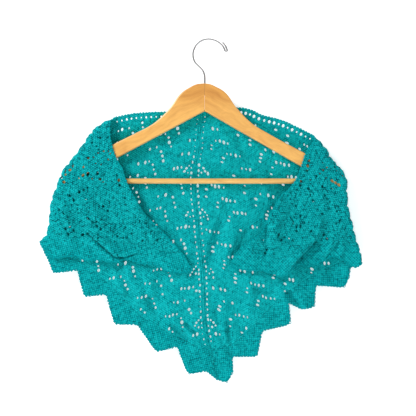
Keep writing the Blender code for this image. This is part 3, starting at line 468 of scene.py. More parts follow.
LEFT = HalfShape(
    name="left",
    side=-1,
    fold_top=(-150.0, -123.0),
    fold_foot=(-262.5, -314.5),
    bulge=(
        (0.0, 0.0), (10.0, 7.5), (30.0, 16.0), (60.0, 18.8), (84.0, 21.6), (108.0, 25.0), (134.0, 21.0),
        (161.0, 15.6), (189.0, 2.8), (207.0, -3.0), (222.0, -0.8),
    ),
    top_edge=((-137.0, -118.5), (-119.0, -115.0), (-94.0, -113.0), (-60.0, -111.5), (-34.0, -109.5)),
    back_hem=(
        (-248.0, -346.0, 6.0), (-242.0, -363.0, 4.0), (-204.0, -358.0, 3.0), (-193.0, -400.0, 5.0),
        (-159.0, -396.0, 4.0), (-146.0, -443.0, 5.0), (-111.0, -443.0, 5.0), (-81.0, -486.0, 6.0),
        (-48.0, -478.0, 4.0), (-31.0, -521.0, 7.0), (-3.0, -516.0, 6.0), (14.0, -530.0, 9.0),
    ),
    back_seam=((-228.0, -334.0), (-197.0, -347.0), (-151.0, -385.0), (-103.0, -432.0), (-42.0, -467.0)),
    wing_edge=(
        (-152.5, -149.0), (-145.0, -181.0), (-134.0, -200.0), (-129.0, -216.0), (-118.0, -239.0), (-99.0, -271.0),
        (-80.0, -290.0), (-41.0, -332.0), (-29.0, -352.0),
    ),
    wing_hem=(
        (-251.0, -330.0, 5.0), (-239.0, -340.0, 6.0), (-204.0, -335.0, 7.0), (-190.0, -344.0, 6.0),
        (-168.0, -341.0, 7.0), (-150.0, -347.0, 6.0), (-128.0, -340.0, 7.0), (-104.0, -348.0, 6.0),
        (-81.0, -350.0, 6.0), (-62.0, -361.0, 6.0), (-36.0, -363.0, 6.0), (-25.0, -357.0, 4.0),
    ),
    wing_seam=((-231.0, -307.0), (-199.0, -309.0), (-168.0, -314.0), (-106.0, -319.0), (-75.0, -328.0)),
    wing_folds=(
        (-209.0, -230.0, -188.0, -262.0, 11.0, 4.0), (-188.0, -262.0, -158.0, -300.0, 12.0, 5.0),
        (-176.0, -312.0, -146.0, -330.0, 9.0, 6.0), (-232.0, -262.0, -214.0, -318.0, 9.0, 4.5),
        (-125.0, -235.0, -95.0, -305.0, 12.0, 3.5), (-105.0, -322.0, -60.0, -345.0, 10.0, 3.0),
        (-170.0, -150.0, -195.0, -200.0, 13.0, 2.0),
    ),
    wing_creases=LEFT_WING_CREASES,
    wing_steps=LEFT_WING_STEPS,
    wing_eyelets=from_photo(LEFT_WING_EYELETS),
    back_fold_end=222.0,
    wing_seam_at=190.0,
    back_seam_at=208.0,
    motif_start=(-56.0, -246.0),
    motif_down=(-12.5, -21.6),
    motif_across=(43.7, -29.6),
    # Columns: X, Z from the motif's corner, width, height, lean in degrees
    motif=(
        (-22.5, 2.8, 2.9, 4.6, -12.0), (-17.0, 4.0, 3.5, 5.4, -14.0), (-11.0, 5.2, 3.7, 5.6, -16.0),
        (-5.4, 6.2, 3.1, 4.8, -18.0), (0.6, 0.2, 4.2, 4.2, -12.0), (2.3, -6.8, 4.4, 4.9, -14.0),
        (4.4, -14.0, 4.0, 4.6, -16.0),
    ),
    picot_sides=(1, 3, 5, 7, 9),
)

RIGHT = HalfShape(
    name="right",
    side=1,
    fold_top=(168.0, -152.0),
    fold_foot=(241.5, -347.0),
    bulge=(
        (0.0, 0.0), (10.0, 4.6), (24.0, 9.4), (40.0, 11.5), (57.0, 18.6), (76.0, 22.4), (98.0, 15.4), (120.0, 9.0),
        (144.0, 6.2), (169.0, 3.0), (193.0, 2.0), (208.5, -0.8),
    ),
    top_edge=(
        (158.0, -145.0), (140.0, -136.0), (115.0, -125.0), (85.0, -117.0), (68.0, -109.0), (50.0, -105.5),
        (27.0, -106.0),
    ),
    back_hem=(
        (222.0, -354.0, 4.0), (220.0, -369.0, 4.0), (213.0, -386.0, 7.0), (168.0, -382.0, 4.0), (166.0, -417.0, 7.0),
        (146.0, -420.0, 5.0), (125.0, -409.0, 3.0), (129.0, -444.0, 9.0), (84.0, -454.0, 5.0), (76.0, -494.0, 5.0),
        (37.0, -494.0, 5.0), (38.0, -519.0, 6.0), (29.0, -535.0, 8.0), (14.0, -530.0, 9.0),
    ),
    back_seam=((206.0, -347.0), (160.0, -370.0), (117.0, -399.0), (76.0, -442.0), (40.0, -474.0)),
    wing_edge=(
        (154.0, -174.0), (145.0, -199.0), (140.0, -213.0), (127.0, -232.0), (113.0, -245.0), (91.0, -283.0),
        (83.0, -301.0), (55.0, -321.0), (40.0, -339.0),
    ),
    wing_hem=(
        (231.0, -355.0, 5.0), (220.0, -351.0, 6.0), (211.0, -343.0, 6.0), (198.0, -336.0, 7.0), (183.0, -340.0, 7.0),
        (168.0, -349.0, 7.0), (153.0, -353.0, 6.0), (140.0, -347.0, 6.0), (119.0, -368.0, 7.0), (105.0, -366.0, 7.0),
        (84.0, -358.0, 7.0), (62.0, -359.0, 7.0), (37.0, -354.0, 4.0),
    ),
    wing_seam=(
        (214.0, -318.0), (190.0, -312.0), (167.0, -322.0), (142.0, -323.0), (120.0, -340.0), (88.0, -335.0),
    ),
    wing_folds=(
        (74.0, -300.0, 62.0, -335.0, 9.0, 4.5), (108.0, -255.0, 98.0, -325.0, 11.0, 5.0),
        (172.0, -285.0, 150.0, -318.0, 9.0, 6.0), (150.0, -318.0, 122.0, -352.0, 8.0, 7.0),
        (205.0, -295.0, 190.0, -325.0, 10.0, 5.0), (224.0, -300.0, 236.0, -345.0, 8.0, 4.5),
        (168.0, -195.0, 185.0, -245.0, 13.0, 2.5),
    ),
    wing_creases=RIGHT_WING_CREASES,
    wing_steps=RIGHT_WING_STEPS,
    wing_eyelets=from_photo(RIGHT_WING_EYELETS),
    back_fold_end=208.5,
    wing_seam_at=184.0,
    back_seam_at=196.0,
    motif_start=(15.6, -254.0),
    motif_down=(17.5, -21.0),
    motif_across=(-42.5, -28.0),
    motif=(
        (26.0, 3.0, 3.2, 4.6, 10.0), (19.6, 4.2, 3.7, 5.4, 12.0), (13.2, 5.5, 3.7, 5.6, 14.0),
        (7.2, 6.8, 3.1, 4.8, 16.0), (0.2, 0.0, 5.4, 3.2, -28.0), (-0.4, -5.8, 6.0, 3.4, -30.0),
        (-1.0, -11.6, 5.4, 3.2, -32.0),
    ),
    picot_sides=(0, 1, 3, 6, 8, 10, 11),
)


def spine_x(z: np.ndarray | float) -> np.ndarray:
    """The spine's middle at heights Z."""
    table = tuple(sorted((-row[1], row[0]) for row in SPINE))
    return curve_value(table, np.atleast_1d(-np.asarray(z, float)))


# Knitted panels


@dataclass
class KnitPanel:
    """A piece of knitting cut from a flat plan, with its eyelets, and laid over the hanger."""

    name: str
    half: HalfShape
    layer: Layer
    ring: list
    eyelets: list = field(default_factory=list)
    row_degrees: float = 0.0
    cell: float = 2.3
    thickness: float = 1.6
    rim_share: float = 0.55
    eyelet_sizes: tuple[float, float] = (0.6, 1.16)
    edge_room: float = 1.2
    eyelet_room: float = 0.9
    rim_points: int = 8
    rim_turn: float = 0.2
    grid_unevenness: float = 0.16
    grid_edge_share: float = 0.55
    grid_rim_share: float = 0.45
    weld: float = 1e-4
    seed: int = 1

    def build(self, finish: bpy.types.Material) -> bpy.types.Object:
        """Makes the panel.

        Args:
            finish: the knitting's material.

        Returns:
            The finished object, whose "Knit" map gives metres along and across the rows.
        """
        plan, triangles, rims = self._cut()
        middle = self.half.in_space(plan, self.layer)
        normal = self._normals(plan)
        thick = np.full(len(plan), self.thickness / 2)
        thick[list(rims)] *= self.rim_share
        count = len(plan)
        points = np.vstack((middle + normal * thick[:, None], middle - normal * thick[:, None])) * MM
        sides = {(a, b) for tri in triangles for a, b in zip(tri, (*tri[1:], tri[0]))}
        edge = [(a, b) for a, b in sides if (b, a) not in sides]
        faces = [tuple(t) for t in triangles] + [tuple(i + count for i in reversed(t)) for t in triangles]
        faces += [(b, a, a + count, b + count) for a, b in sorted(edge)]
        mesh = bpy.data.meshes.new(self.name)
        mesh.from_pydata(points.tolist(), [], faces)
        mesh.validate()
        self._lay_map(mesh, np.vstack((plan, plan)))
        mesh.shade_smooth()
        mesh.materials.append(finish)
        made = bpy.data.objects.new(self.name, mesh)
        bpy.context.scene.collection.objects.link(made)
        LOG.info("%s: %d triangles, %d eyelets", self.name, 2 * len(triangles) + 2 * len(edge), len(self.eyelets))
        return made

    def _normals(self, plan: np.ndarray) -> np.ndarray:
        """The cloth's front normal at each place of the plan."""
        reach = 0.5
        across = self.half.in_space(plan + (reach, 0), self.layer) - self.half.in_space(plan - (reach, 0), self.layer)
        up = self.half.in_space(plan + (0, reach), self.layer) - self.half.in_space(plan - (0, reach), self.layer)
        normal = np.cross(across, up)
        return normal / np.linalg.norm(normal, axis=1)[:, None]

    def _lay_map(self, mesh: bpy.types.Mesh, plan: np.ndarray) -> None:
        """Gives the mesh its "Knit" map: metres along the rows and across them."""
        turn = math.radians(self.row_degrees)
        u = plan @ np.array((math.cos(turn), math.sin(turn))) * MM
        v = plan @ np.array((-math.sin(turn), math.cos(turn))) * MM
        corners = np.empty(len(mesh.loops), dtype=np.int32)
        mesh.loops.foreach_get("vertex_index", corners)
        laid = mesh.uv_layers.new(name="Knit")
        laid.data.foreach_set("uv", np.column_stack((u[corners], v[corners])).astype(np.float32).ravel())

    def _cut(self) -> tuple[np.ndarray, list, set]:
        """Triangulates the plan round its eyelets.

        Returns:
            The plan's points, its triangles and the points on the eyelets' rims.
        """
        chance = np.random.default_rng(self.seed)
        ring = np.array(self.ring)
        if signed_area(ring) < 0:
            ring = ring[::-1]
        holes = np.array(self.eyelets).reshape(-1, 5)
        if len(holes):
            room = holes[:, 2:4].min(1) / 2 + self.edge_room
            holes = holes[inside_ring(ring, holes[:, :2]) & (ring_distances(ring, holes[:, :2]) > room)]
        kept: list = []
        for row in holes:
            reach = max(row[2:4]) / 2 + self.eyelet_room
            if all(math.dist(row[:2], other[:2]) > reach + min(other[2:4]) / 2 for other in kept):
                kept.append(row)
        self.eyelets = kept
        low, top = ring.min(0), ring.max(0)
        rows = np.arange(low[1], top[1], self.cell * math.sin(math.pi / 3))
        columns = np.arange(low[0], top[0], self.cell)
        grid = np.array([(x + (i % 2) * self.cell / 2, z) for i, z in enumerate(rows) for x in columns])
        grid += chance.uniform(-self.grid_unevenness, self.grid_unevenness, grid.shape) * self.cell
        grid = grid[inside_ring(ring, grid)]
        grid = grid[ring_distances(ring, grid) > self.grid_edge_share * self.cell]
        for x, z, wide, high, _ in kept:
            reach = max(wide, high) / 2 + self.grid_rim_share * self.cell
            grid = grid[np.hypot(grid[:, 0] - x, grid[:, 1] - z) > reach]
        points, loops = list(ring), [list(range(len(ring)))]
        for x, z, wide, high, lean in kept:
            size = chance.uniform(*self.eyelet_sizes)
            first = len(points)
            cosine, sine = math.cos(math.radians(lean)), math.sin(math.radians(lean))
            turns = np.arange(self.rim_points) * (2 * math.pi) / self.rim_points
            for turn in turns + chance.uniform(-self.rim_turn, self.rim_turn):
                u, v = wide / 2 * size * math.cos(turn), high / 2 * size * math.sin(turn)
                points.append(np.array((x + u * cosine - v * sine, z + u * sine + v * cosine)))
            loops.append(list(range(first, first + self.rim_points)))
        rims_end = len(points)
        points += list(grid)
        plan, _, faces, came, _, sources = delaunay_2d_cdt([Vector(p) for p in points], [], loops, 1, self.weld)
        triangles = [tuple(face) for face, source in zip(faces, sources) if max(source) == 0]
        rims = {i for i, olds in enumerate(came) if any(len(ring) <= old < rims_end for old in olds)}
        return np.array([tuple(p) for p in plan]), triangles, rims


# Nodes


class Graph:
    """Short ways to add nodes to a tree."""

    def __init__(self, tree: bpy.types.NodeTree) -> None:
        """Takes the tree that the nodes go into."""
        self.tree = tree

    def node(self, kind: str, **inputs: object) -> bpy.types.Node:
        """Adds a node, with values or sockets for its inputs by name."""
        made = self.tree.nodes.new(kind)
        self.set(made, **inputs)
        return made

    def set(self, node: bpy.types.Node, **inputs: object) -> None:
        """Gives a node values or sockets for its inputs by name."""
        for label, value in inputs.items():
            self.feed(node.inputs[label.replace("_", " ")], value)

    def feed(self, socket: bpy.types.NodeSocket, value: object) -> None:
        """Links a socket to another or sets its value."""
        if isinstance(value, bpy.types.NodeSocket):
            self.tree.links.new(value, socket)
        else:
            socket.default_value = value

    def math(self, operation: str, *values: object, clamp: bool = False) -> bpy.types.NodeSocket:
        """A Math node's result."""
        made = self.tree.nodes.new("ShaderNodeMath")
        made.operation, made.use_clamp = operation, clamp
        for socket, value in zip(made.inputs, values):
            self.feed(socket, value)
        return made.outputs[0]

    def vector(self, operation: str, *values: object) -> bpy.types.NodeSocket:
        """A Vector Math node's result."""
        made = self.tree.nodes.new("ShaderNodeVectorMath")
        made.operation = operation
        for socket, value in zip(made.inputs, values):
            self.feed(socket, value)
        return made.outputs[0]

    def noise(self, vector: object, scale: float, detail: float = 2.0, rough: float = 0.5) -> bpy.types.Node:
        """A Noise Texture."""
        return self.node("ShaderNodeTexNoise", Vector=vector, Scale=scale, Detail=detail, Roughness=rough)

    def smooth(self, value: object, low: float, high: float) -> bpy.types.NodeSocket:
        """0 to 1 as a value rises from low to high, with soft ends."""
        made = self.tree.nodes.new("ShaderNodeMapRange")
        made.interpolation_type = "SMOOTHSTEP"
        for label, part in (("Value", value), ("From Min", low), ("From Max", high)):
            self.feed(made.inputs[label], part)
        return made.outputs["Result"]

    def ramp(self, value: object, stops: tuple) -> bpy.types.NodeSocket:
        """Colours along a value. Columns of stops: place, colour."""
        made = self.node("ShaderNodeValToRGB", Fac=value)
        bar = made.color_ramp
        while len(bar.elements) < len(stops):
            bar.elements.new(0.5)
        for element, (place, colour) in zip(bar.elements, stops):
            element.position, element.color = place, (*colour, 1.0)
        return made.outputs["Color"]


# The shawl


@dataclass
class Shawl:
    """The whole shawl: lace halves either side of a spine, garter edging, and the yarn along the edges."""

    spine_width: float = 3.0
    spine_top: float = -108.5
    spine_seam: float = -484.0
    spine_foot: float = -504.0
    step: float = 2.2
    neck_row_drop: float = 6.6
    neck_row_pitch: float = 7.9
    spine_hole_offset: float = 5.0
    spine_hole_pitch: float = 8.4
    spine_bright_z: float = -180.0
    fan_heights: Row = (-199.0, -268.0, -357.0, -441.0)
    # Columns: X away from the spine, Z, width, height, lean
    fan: Table = (
        (9.6, 3.4, 2.8, 4.2, -30.0), (13.4, -0.6, 3.2, 4.4, -40.0), (16.2, -5.4, 3.4, 4.4, -50.0),
        (10.6, -7.6, 2.8, 3.8, -20.0),
    )
    spine_clear: float = 9.5
    neck_row_ends: float = 8.0
    back_left_out: float = 0.05
    back_drift: float = 0.9
    back_lean: float = 12.0
    back_taller: float = 1.08
    wing_left_out: float = 0.45
    wing_drift: float = 1.6
    wing_shrink: Row = (0.62, 0.72)
    wide_eyelet: float = 4.1
    behind_clear: float = 2.9
    back_row_degrees: tuple[float, float] = (-34.0, 33.5)
    edging_row_degrees: tuple[float, float] = (-76.0, -4.0)

    def build(self, lace: "YarnFinish", loose: "YarnFinish", garter: "YarnFinish") -> None:
        """Makes every knitted piece and its edges.

        Args:
            lace: the finish of the back's lace.
            loose: the finish of the wings' lace, darker with painted shade and painted shadow specks.
            garter: the finish of the edging.
        """
        lace_skin, loose_skin, garter_skin = lace.material(), loose.material(), garter.material()
        for half in (LEFT, RIGHT):
            self._back(half, lace_skin, garter_skin)
            self._wing(half, loose_skin, garter_skin)

    def spine_side(self, half: HalfShape, top: float, foot: float) -> list[np.ndarray]:
        """A half's edge along the spine, going down."""
        heights = np.linspace(top, foot, max(2, round((top - foot) / self.step)))
        x = spine_x(heights) + half.side * self.spine_width / 2
        return [np.array(place) for place in zip(x, heights)]

    def motif_holes(self, half: HalfShape, layer: Layer) -> list[Row]:
        """Every eyelet of the lace motifs over one panel."""
        turn = half.fold_turn()
        start, down, across = (np.array(v) for v in (half.motif_start, half.motif_down, half.motif_across))
        chance = np.random.default_rng(11 + half.side)
        rows = list(half.wing_eyelets) if layer is Layer.WING else []
        for i in range(-14, 18):
            for j in range(-7, 9):
                for x, z, wide, high, lean in half.motif:
                    place = start + i * down + j * across + (x, z)
                    if layer is Layer.WING:
                        if chance.random() < self.wing_left_out:
                            continue
                        place = half.mirrored(place) + chance.uniform(-self.wing_drift, self.wing_drift, 2)
                        wide, high, lean = self.wing_shrink[0] * wide, self.wing_shrink[1] * high, turn - lean
                    elif abs(place[0] - spine_x(place[1])[0]) < self.spine_clear:
                        continue
                    elif chance.random() < self.back_left_out:
                        continue
                    else:
                        place = place + chance.uniform(-self.back_drift, self.back_drift, 2)
                        lean += chance.uniform(-self.back_lean, self.back_lean)
                        high *= self.back_taller
                    rows.append((*place, wide, high, lean))
        return rows

    def edge_holes(self, line: list, drop: float, wide: float, high: float) -> list[Row]:
        """The row of eyelets along the neck edge, to the left of a line's direction."""
        points = np.array(line)
        lengths = np.concatenate(([0.0], np.cumsum(np.linalg.norm(np.diff(points, axis=0), axis=1))))
        rows = []
        for at in np.arange(self.neck_row_ends, lengths[-1] - self.neck_row_ends, self.neck_row_pitch):
            i = min(int(np.searchsorted(lengths, at, side="right")) - 1, len(points) - 2)
            way = (points[i + 1] - points[i]) / (lengths[i + 1] - lengths[i])
            place = points[i] + way * (at - lengths[i]) + np.array((-way[1], way[0])) * drop
            rows.append((*place, wide, high, math.degrees(math.atan2(way[1], way[0]))))
        return rows

    def spine_holes(self, half: HalfShape) -> list[Row]:
        """The column of eyelets beside the spine, with its small fans."""
        wide, high = (3.4, 5.2) if half.side > 0 else (2.7, 4.4)
        heights = np.arange(self.spine_top - 12.0 + half.side * 2.0, self.spine_seam, -self.spine_hole_pitch)
        chance = np.random.default_rng(31 + half.side)
        rows = []
        for z in heights:
            small = 0.55 if z > self.spine_bright_z or chance.random() < 0.2 else 1.0
            z += chance.uniform(-1.2, 1.2)
            x = spine_x(z)[0] + half.side * (self.spine_hole_offset + chance.uniform(-0.1, 1.1))
            rows.append((x, z, small * wide * chance.uniform(0.8, 1.2), small * high, chance.uniform(-14.0, 14.0)))
        for top in self.fan_heights:
            for x, z, across, tall, lean in self.fan:
                place_z = top + z
                rows.append((spine_x(place_z)[0] + half.side * x, place_z, across, tall, -half.side * lean))
        return rows

    def _add(self, panel: KnitPanel, skin: bpy.types.Material, node: str) -> bpy.types.Object:
        """Builds a panel in place of its solid."""
        piece = panel.build(skin)
        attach(piece, "root")
        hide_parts(node)
        return piece

    def _cut(self, piece: bpy.types.Object, half: HalfShape, ring: list, slim: bool, trims: list) -> None:
        """Takes a panel with its half, plan, slimness and trims, and does nothing with them."""

    @staticmethod
    def cut_size(ring: list, slim: bool) -> tuple[Row, float]:
        """The flat size of a panel's plan in metres, as a strip for a slim one, and its area."""
        area = abs(signed_area(np.array(ring))) / 2 * MM**2
        wide, high = np.ptp(np.array(ring), axis=0) * MM
        if slim:
            length = math.hypot(wide, high)
            return (1.5 * area / length, length), area
        return (float(wide), float(high)), area

    def _trim(
        self, name: str, half: HalfShape, layer: Layer, line: list, skin: bpy.types.Material, trim: Trim
    ) -> bpy.types.Object:
        """Lays yarn along an edge of a panel."""
        path = half.in_space(np.array(line), layer) * MM
        piece = EdgeYarn(name, trim, seed=len(name) + len(line)).build(path, skin)
        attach(piece, "root")
        return piece

    def _back(self, half: HalfShape, lace: bpy.types.Material, garter: bpy.types.Material) -> None:
        """The lace and the edging of the half that hangs behind the hanger."""
        which = half.index()
        spine = self.spine_side(half, self.spine_top, self.spine_seam)
        top = smooth_line([half.fold_edge(0.0), *half.top_edge, spine[0]], self.step)
        seam = smooth_line([spine[-1], *half.back_seam[::-1], half.fold_edge(half.back_seam_at)], self.step)
        side = half.fold_side(half.back_seam_at, 0.0, self.step)
        ring = [*top[:-1], *spine[:-1], *seam[:-1], *side[:-1]]
        neck = (3.8, 4.8) if half.side > 0 else (2.7, 3.6)
        holes = self.spine_holes(half) + self.edge_holes(top, half.side * self.neck_row_drop, *neck)
        holes += self.motif_holes(half, Layer.BACK)
        degrees = self.back_row_degrees[which]
        panel = KnitPanel(f"knit_back_{half.name}", half, Layer.BACK, ring, holes, degrees, cell=1.9)
        piece = self._add(panel, lace, f"back_{half.name}")
        trims = [self._trim(f"selvedge_neck_{half.name}", half, Layer.BACK, top, lace, Trim.SELVEDGE)]
        trims.append(self._trim(f"nap_neck_{half.name}", half, Layer.BACK, top, lace, Trim.NAP))
        trims.append(self._trim(f"nap_fold_{half.name}", half, Layer.BACK, side, lace, Trim.NAP))
        if half.side > 0:
            trims.append(self._spine(lace))
        self._cut(piece, half, ring, False, trims)

        inner = self.spine_side(half, self.spine_seam, self.spine_foot)
        fold = half.fold_side(half.back_seam_at, half.back_fold_end, self.step)
        hem_rows = [(*fold[-1], 0.0), *half.back_hem]
        hem = rounded_line(hem_rows, self.step)
        under = np.array((spine_x(self.spine_foot)[0], self.spine_foot))
        ring = [*seam[:-1], *fold[:-1], *hem, under, *reversed(inner[1:])]
        panel = KnitPanel(f"garter_back_{half.name}", half, Layer.BACK, ring, [], self.edging_row_degrees[which])
        piece = self._add(panel, garter, f"edging_back_{half.name}")
        trims = [self._trim(f"selvedge_hem_{half.name}", half, Layer.BACK, hem, garter, Trim.SELVEDGE)]
        trims.append(self._trim(f"nap_hem_{half.name}", half, Layer.BACK, hem, garter, Trim.NAP))
        for number, corner in enumerate(half.picot_sides):
            ends = [np.array(half.back_hem[i][:2]) for i in (corner, corner + 1)]
            line = [ends[0] + (ends[1] - ends[0]) * t for t in np.linspace(0.08, 0.92, 12)]
            name = f"picots_{half.name}_{number}"
            trims.append(self._trim(name, half, Layer.BACK, line, garter, Trim.PICOT))
        self._cut(piece, half, ring, True, trims)

    def _wing(self, half: HalfShape, lace: bpy.types.Material, garter: bpy.types.Material) -> None:
        """The lace and the edging of the wing that lies in front."""
        which = half.index()
        turn = half.fold_turn()
        tip = np.array(half.wing_hem[-1][:2])
        edge = smooth_line([half.fold_edge(0.0), *half.wing_edge, tip], self.step)
        near = int(np.argmin(np.linalg.norm(np.array(edge) - half.wing_edge[-2], axis=1)))
        seam = smooth_line([edge[near], *half.wing_seam[::-1], half.fold_edge(half.wing_seam_at)], self.step)
        side = half.fold_side(half.wing_seam_at, 0.0, self.step)
        ring = [*edge[:near], *seam[:-1], *side[:-1]]
        behind = np.array([row[:2] for row in self.motif_holes(half, Layer.BACK)])
        holes = self.edge_holes(edge, -half.side * self.neck_row_drop, 1.9, 3.0) + self.motif_holes(half, Layer.WING)
        clear = [
            row
            for row in holes
            if row[2] > self.wide_eyelet or np.linalg.norm(behind - row[:2], axis=1).min() > self.behind_clear
        ]
        degrees = turn - self.back_row_degrees[which]
        panel = KnitPanel(f"knit_wing_{half.name}", half, Layer.WING, ring, clear, degrees, cell=1.6)
        piece = self._add(panel, lace, f"wing_{half.name}")
        trims = [self._trim(f"selvedge_wing_{half.name}", half, Layer.WING, edge, lace, Trim.SELVEDGE)]
        trims.append(self._trim(f"nap_wing_{half.name}", half, Layer.WING, edge, lace, Trim.NAP))
        self._cut(piece, half, ring, False, trims)

        fold = half.fold_side(half.wing_seam_at, half.back_fold_end, self.step)
        hem = rounded_line([(*fold[-1], 0.0), *half.wing_hem], self.step)
        ring = [*seam[:-1], *fold[:-1], *hem, *reversed(edge[near + 1 : -1])]
        degrees = turn - self.edging_row_degrees[which]
        panel = KnitPanel(f"garter_wing_{half.name}", half, Layer.WING, ring, [], degrees, cell=1.6)
        piece = self._add(panel, garter, f"edging_wing_{half.name}")
        trims = [self._trim(f"selvedge_wing_hem_{half.name}", half, Layer.WING, hem, garter, Trim.SELVEDGE)]
        self._cut(piece, half, ring, True, trims)

    def _spine(self, lace: bpy.types.Material) -> bpy.types.Object:
        """The plain rib of stitches down the middle of the back."""
        left = self.spine_side(LEFT, self.spine_top, self.spine_foot)
        right = self.spine_side(RIGHT, self.spine_top, self.spine_foot)
        panel = KnitPanel("knit_spine", LEFT, Layer.BACK, [*left, *reversed(right)], [], -90.0, thickness=2.2)
        return self._add(panel, lace, "spine")


# The least and greatest scale of one repeat: along the edge, across it and upright
REPEAT_SCALES = {
    Trim.NAP: ((0.7, 0.7, 0.25), (1.1, 1.1, 1.0)),
    Trim.PICOT: ((0.85, 0.85, 0.85), (1.15, 1.1, 1.2)),
    Trim.SELVEDGE: ((1.15, 0.75, 0.8), (1.6, 1.0, 1.15)),
}


@dataclass
class EdgeYarn:
    """Yarn that follows an edge, repeated by Geometry Nodes: picot loops, a selvedge's bumps or a nap of fibres."""

    name: str
    trim: Trim
    picot_pitch: float = 5.8
    picot_radius: float = 1.7
    picot_yarn: float = 0.6
    bump_pitch: float = 4.8
    bump_radius: float = 1.7
    nap_pitch: float = 0.45
    nap_radius: float = 0.11
    nap_length: float = 7.0
    seed: int = 4

    def build(self, path: np.ndarray, finish: bpy.types.Material) -> bpy.types.Object:
        """Repeats the yarn along a path.

        Args:
            path: points in space, in metres.
            finish: the yarn's material.

        Returns:
            The finished object, a plain mesh.
        """
        line = bpy.data.meshes.new(f"{self.name}_path")
        line.from_pydata(path.tolist(), [(i, i + 1) for i in range(len(path) - 1)], [])
        guide = bpy.data.objects.new(f"{self.name}_path", line)
        bpy.context.scene.collection.objects.link(guide)
        tree = self._tree()
        spread = guide.modifiers.new("yarn", "NODES")
        spread.node_group = tree
        sizes = {
            Trim.PICOT: (self.picot_pitch, self.picot_radius),
            Trim.SELVEDGE: (self.bump_pitch, self.bump_radius),
            Trim.NAP: (self.nap_pitch, self.nap_radius),
        }
        values = {
            "Pitch": sizes[self.trim][0] * MM,
            "Radius": sizes[self.trim][1] * MM,
            "Yarn radius": self.picot_yarn * MM,
            "Seed": self.seed,
            "Finish": finish,
        }
        for item in tree.interface.items_tree:
            if item.item_type == "SOCKET" and item.in_out == "INPUT" and item.name in values:
                spread[item.identifier] = values[item.name]
        bpy.context.view_layer.update()
        view = bpy.context.evaluated_depsgraph_get()
        mesh = bpy.data.meshes.new_from_object(guide.evaluated_get(view), depsgraph=view)
        mesh.name = self.name
        guide.modifiers.remove(spread)
        bpy.data.objects.remove(guide)
        mesh.shade_smooth()
        made = bpy.data.objects.new(self.name, mesh)
        bpy.context.scene.collection.objects.link(made)
        LOG.info("%s: %d faces", self.name, len(mesh.polygons))
        return made

    def _tree(self) -> bpy.types.NodeTree:
        """The node tree for this trim, built once."""
        title = f"yarn_{self.trim.value}"
        if title in bpy.data.node_groups:
            return bpy.data.node_groups[title]
        tree = bpy.data.node_groups.new(title, "GeometryNodeTree")
        face = tree.interface
        face.new_socket("Edge", in_out="INPUT", socket_type="NodeSocketGeometry")
        for label in ("Pitch", "Radius", "Yarn radius"):
            face.new_socket(label, in_out="INPUT", socket_type="NodeSocketFloat")
        face.new_socket("Seed", in_out="INPUT", socket_type="NodeSocketInt")
        face.new_socket("Finish", in_out="INPUT", socket_type="NodeSocketMaterial")
        face.new_socket("Yarn", in_out="OUTPUT", socket_type="NodeSocketGeometry")
        graph = Graph(tree)
        start, end = graph.node("NodeGroupInput"), graph.node("NodeGroupOutput")
        curve = graph.node("GeometryNodeMeshToCurve", Mesh=start.outputs["Edge"])
        points = graph.node("GeometryNodeResampleCurve")
        points.mode = "LENGTH"
        graph.set(points, Curve=curve.outputs["Curve"], Length=start.outputs["Pitch"])
        low, high = REPEAT_SCALES[self.trim]
        size = graph.node("FunctionNodeRandomValue")
        size.data_type = "FLOAT_VECTOR"
        graph.set(size, Min=low, Max=high, Seed=start.outputs["Seed"])
        place = graph.node(
            "GeometryNodeInstanceOnPoints",
            Points=points.outputs["Curve"],
            Instance=self._repeat(graph, start),
            Rotation=self._turn(graph),
            Scale=size.outputs["Value"],
        )
        solid = graph.node("GeometryNodeRealizeInstances", Geometry=place.outputs["Instances"])
        dress = graph.node("GeometryNodeSetMaterial", Geometry=solid.outputs["Geometry"])
        graph.set(dress, Material=start.outputs["Finish"])
        graph.set(end, Yarn=dress.outputs["Geometry"])
        return tree

    def _repeat(self, graph: Graph, start: bpy.types.Node) -> bpy.types.NodeSocket:
        """One repeat: a loop of yarn that stands up, a fibre or a bump."""
        radius = start.outputs["Radius"]
        if self.trim is Trim.PICOT:
            loop = graph.node("GeometryNodeCurvePrimitiveCircle", Resolution=10, Radius=radius)
            strand = graph.node("GeometryNodeCurvePrimitiveCircle", Resolution=5, Radius=start.outputs["Yarn radius"])
            sweep = graph.node("GeometryNodeCurveToMesh", Curve=loop.outputs["Curve"])
            graph.set(sweep, Profile_Curve=strand.outputs["Curve"])
            upright = graph.node("GeometryNodeTransform", Geometry=sweep.outputs["Mesh"])
            graph.set(upright, Rotation=(math.pi / 2, 0.0, 0.0))
            return upright.outputs["Geometry"]
        if self.trim is Trim.NAP:
            hair = graph.node("GeometryNodeMeshCone", Vertices=3, Depth=self.nap_length * MM, Radius_Bottom=radius)
            return hair.outputs["Mesh"]
        return graph.node("GeometryNodeMeshIcoSphere", Subdivisions=2, Radius=radius).outputs["Mesh"]

    def _turn(self, graph: Graph) -> bpy.types.NodeSocket:
        """How each repeat is turned: along the edge, or any way for a fibre."""
        if self.trim is Trim.NAP:
            tumble = graph.node("FunctionNodeRandomValue")
            tumble.data_type = "FLOAT_VECTOR"
            graph.set(tumble, Max=(2 * math.pi, 2 * math.pi, 2 * math.pi))
            return tumble.outputs["Value"]
        align = graph.node("FunctionNodeAlignRotationToVector")
        align.axis, align.pivot_axis = "X", "Y"
        graph.set(align, Vector=graph.node("GeometryNodeInputTangent").outputs["Tangent"])
        return align.outputs["Rotation"]


# Finishes


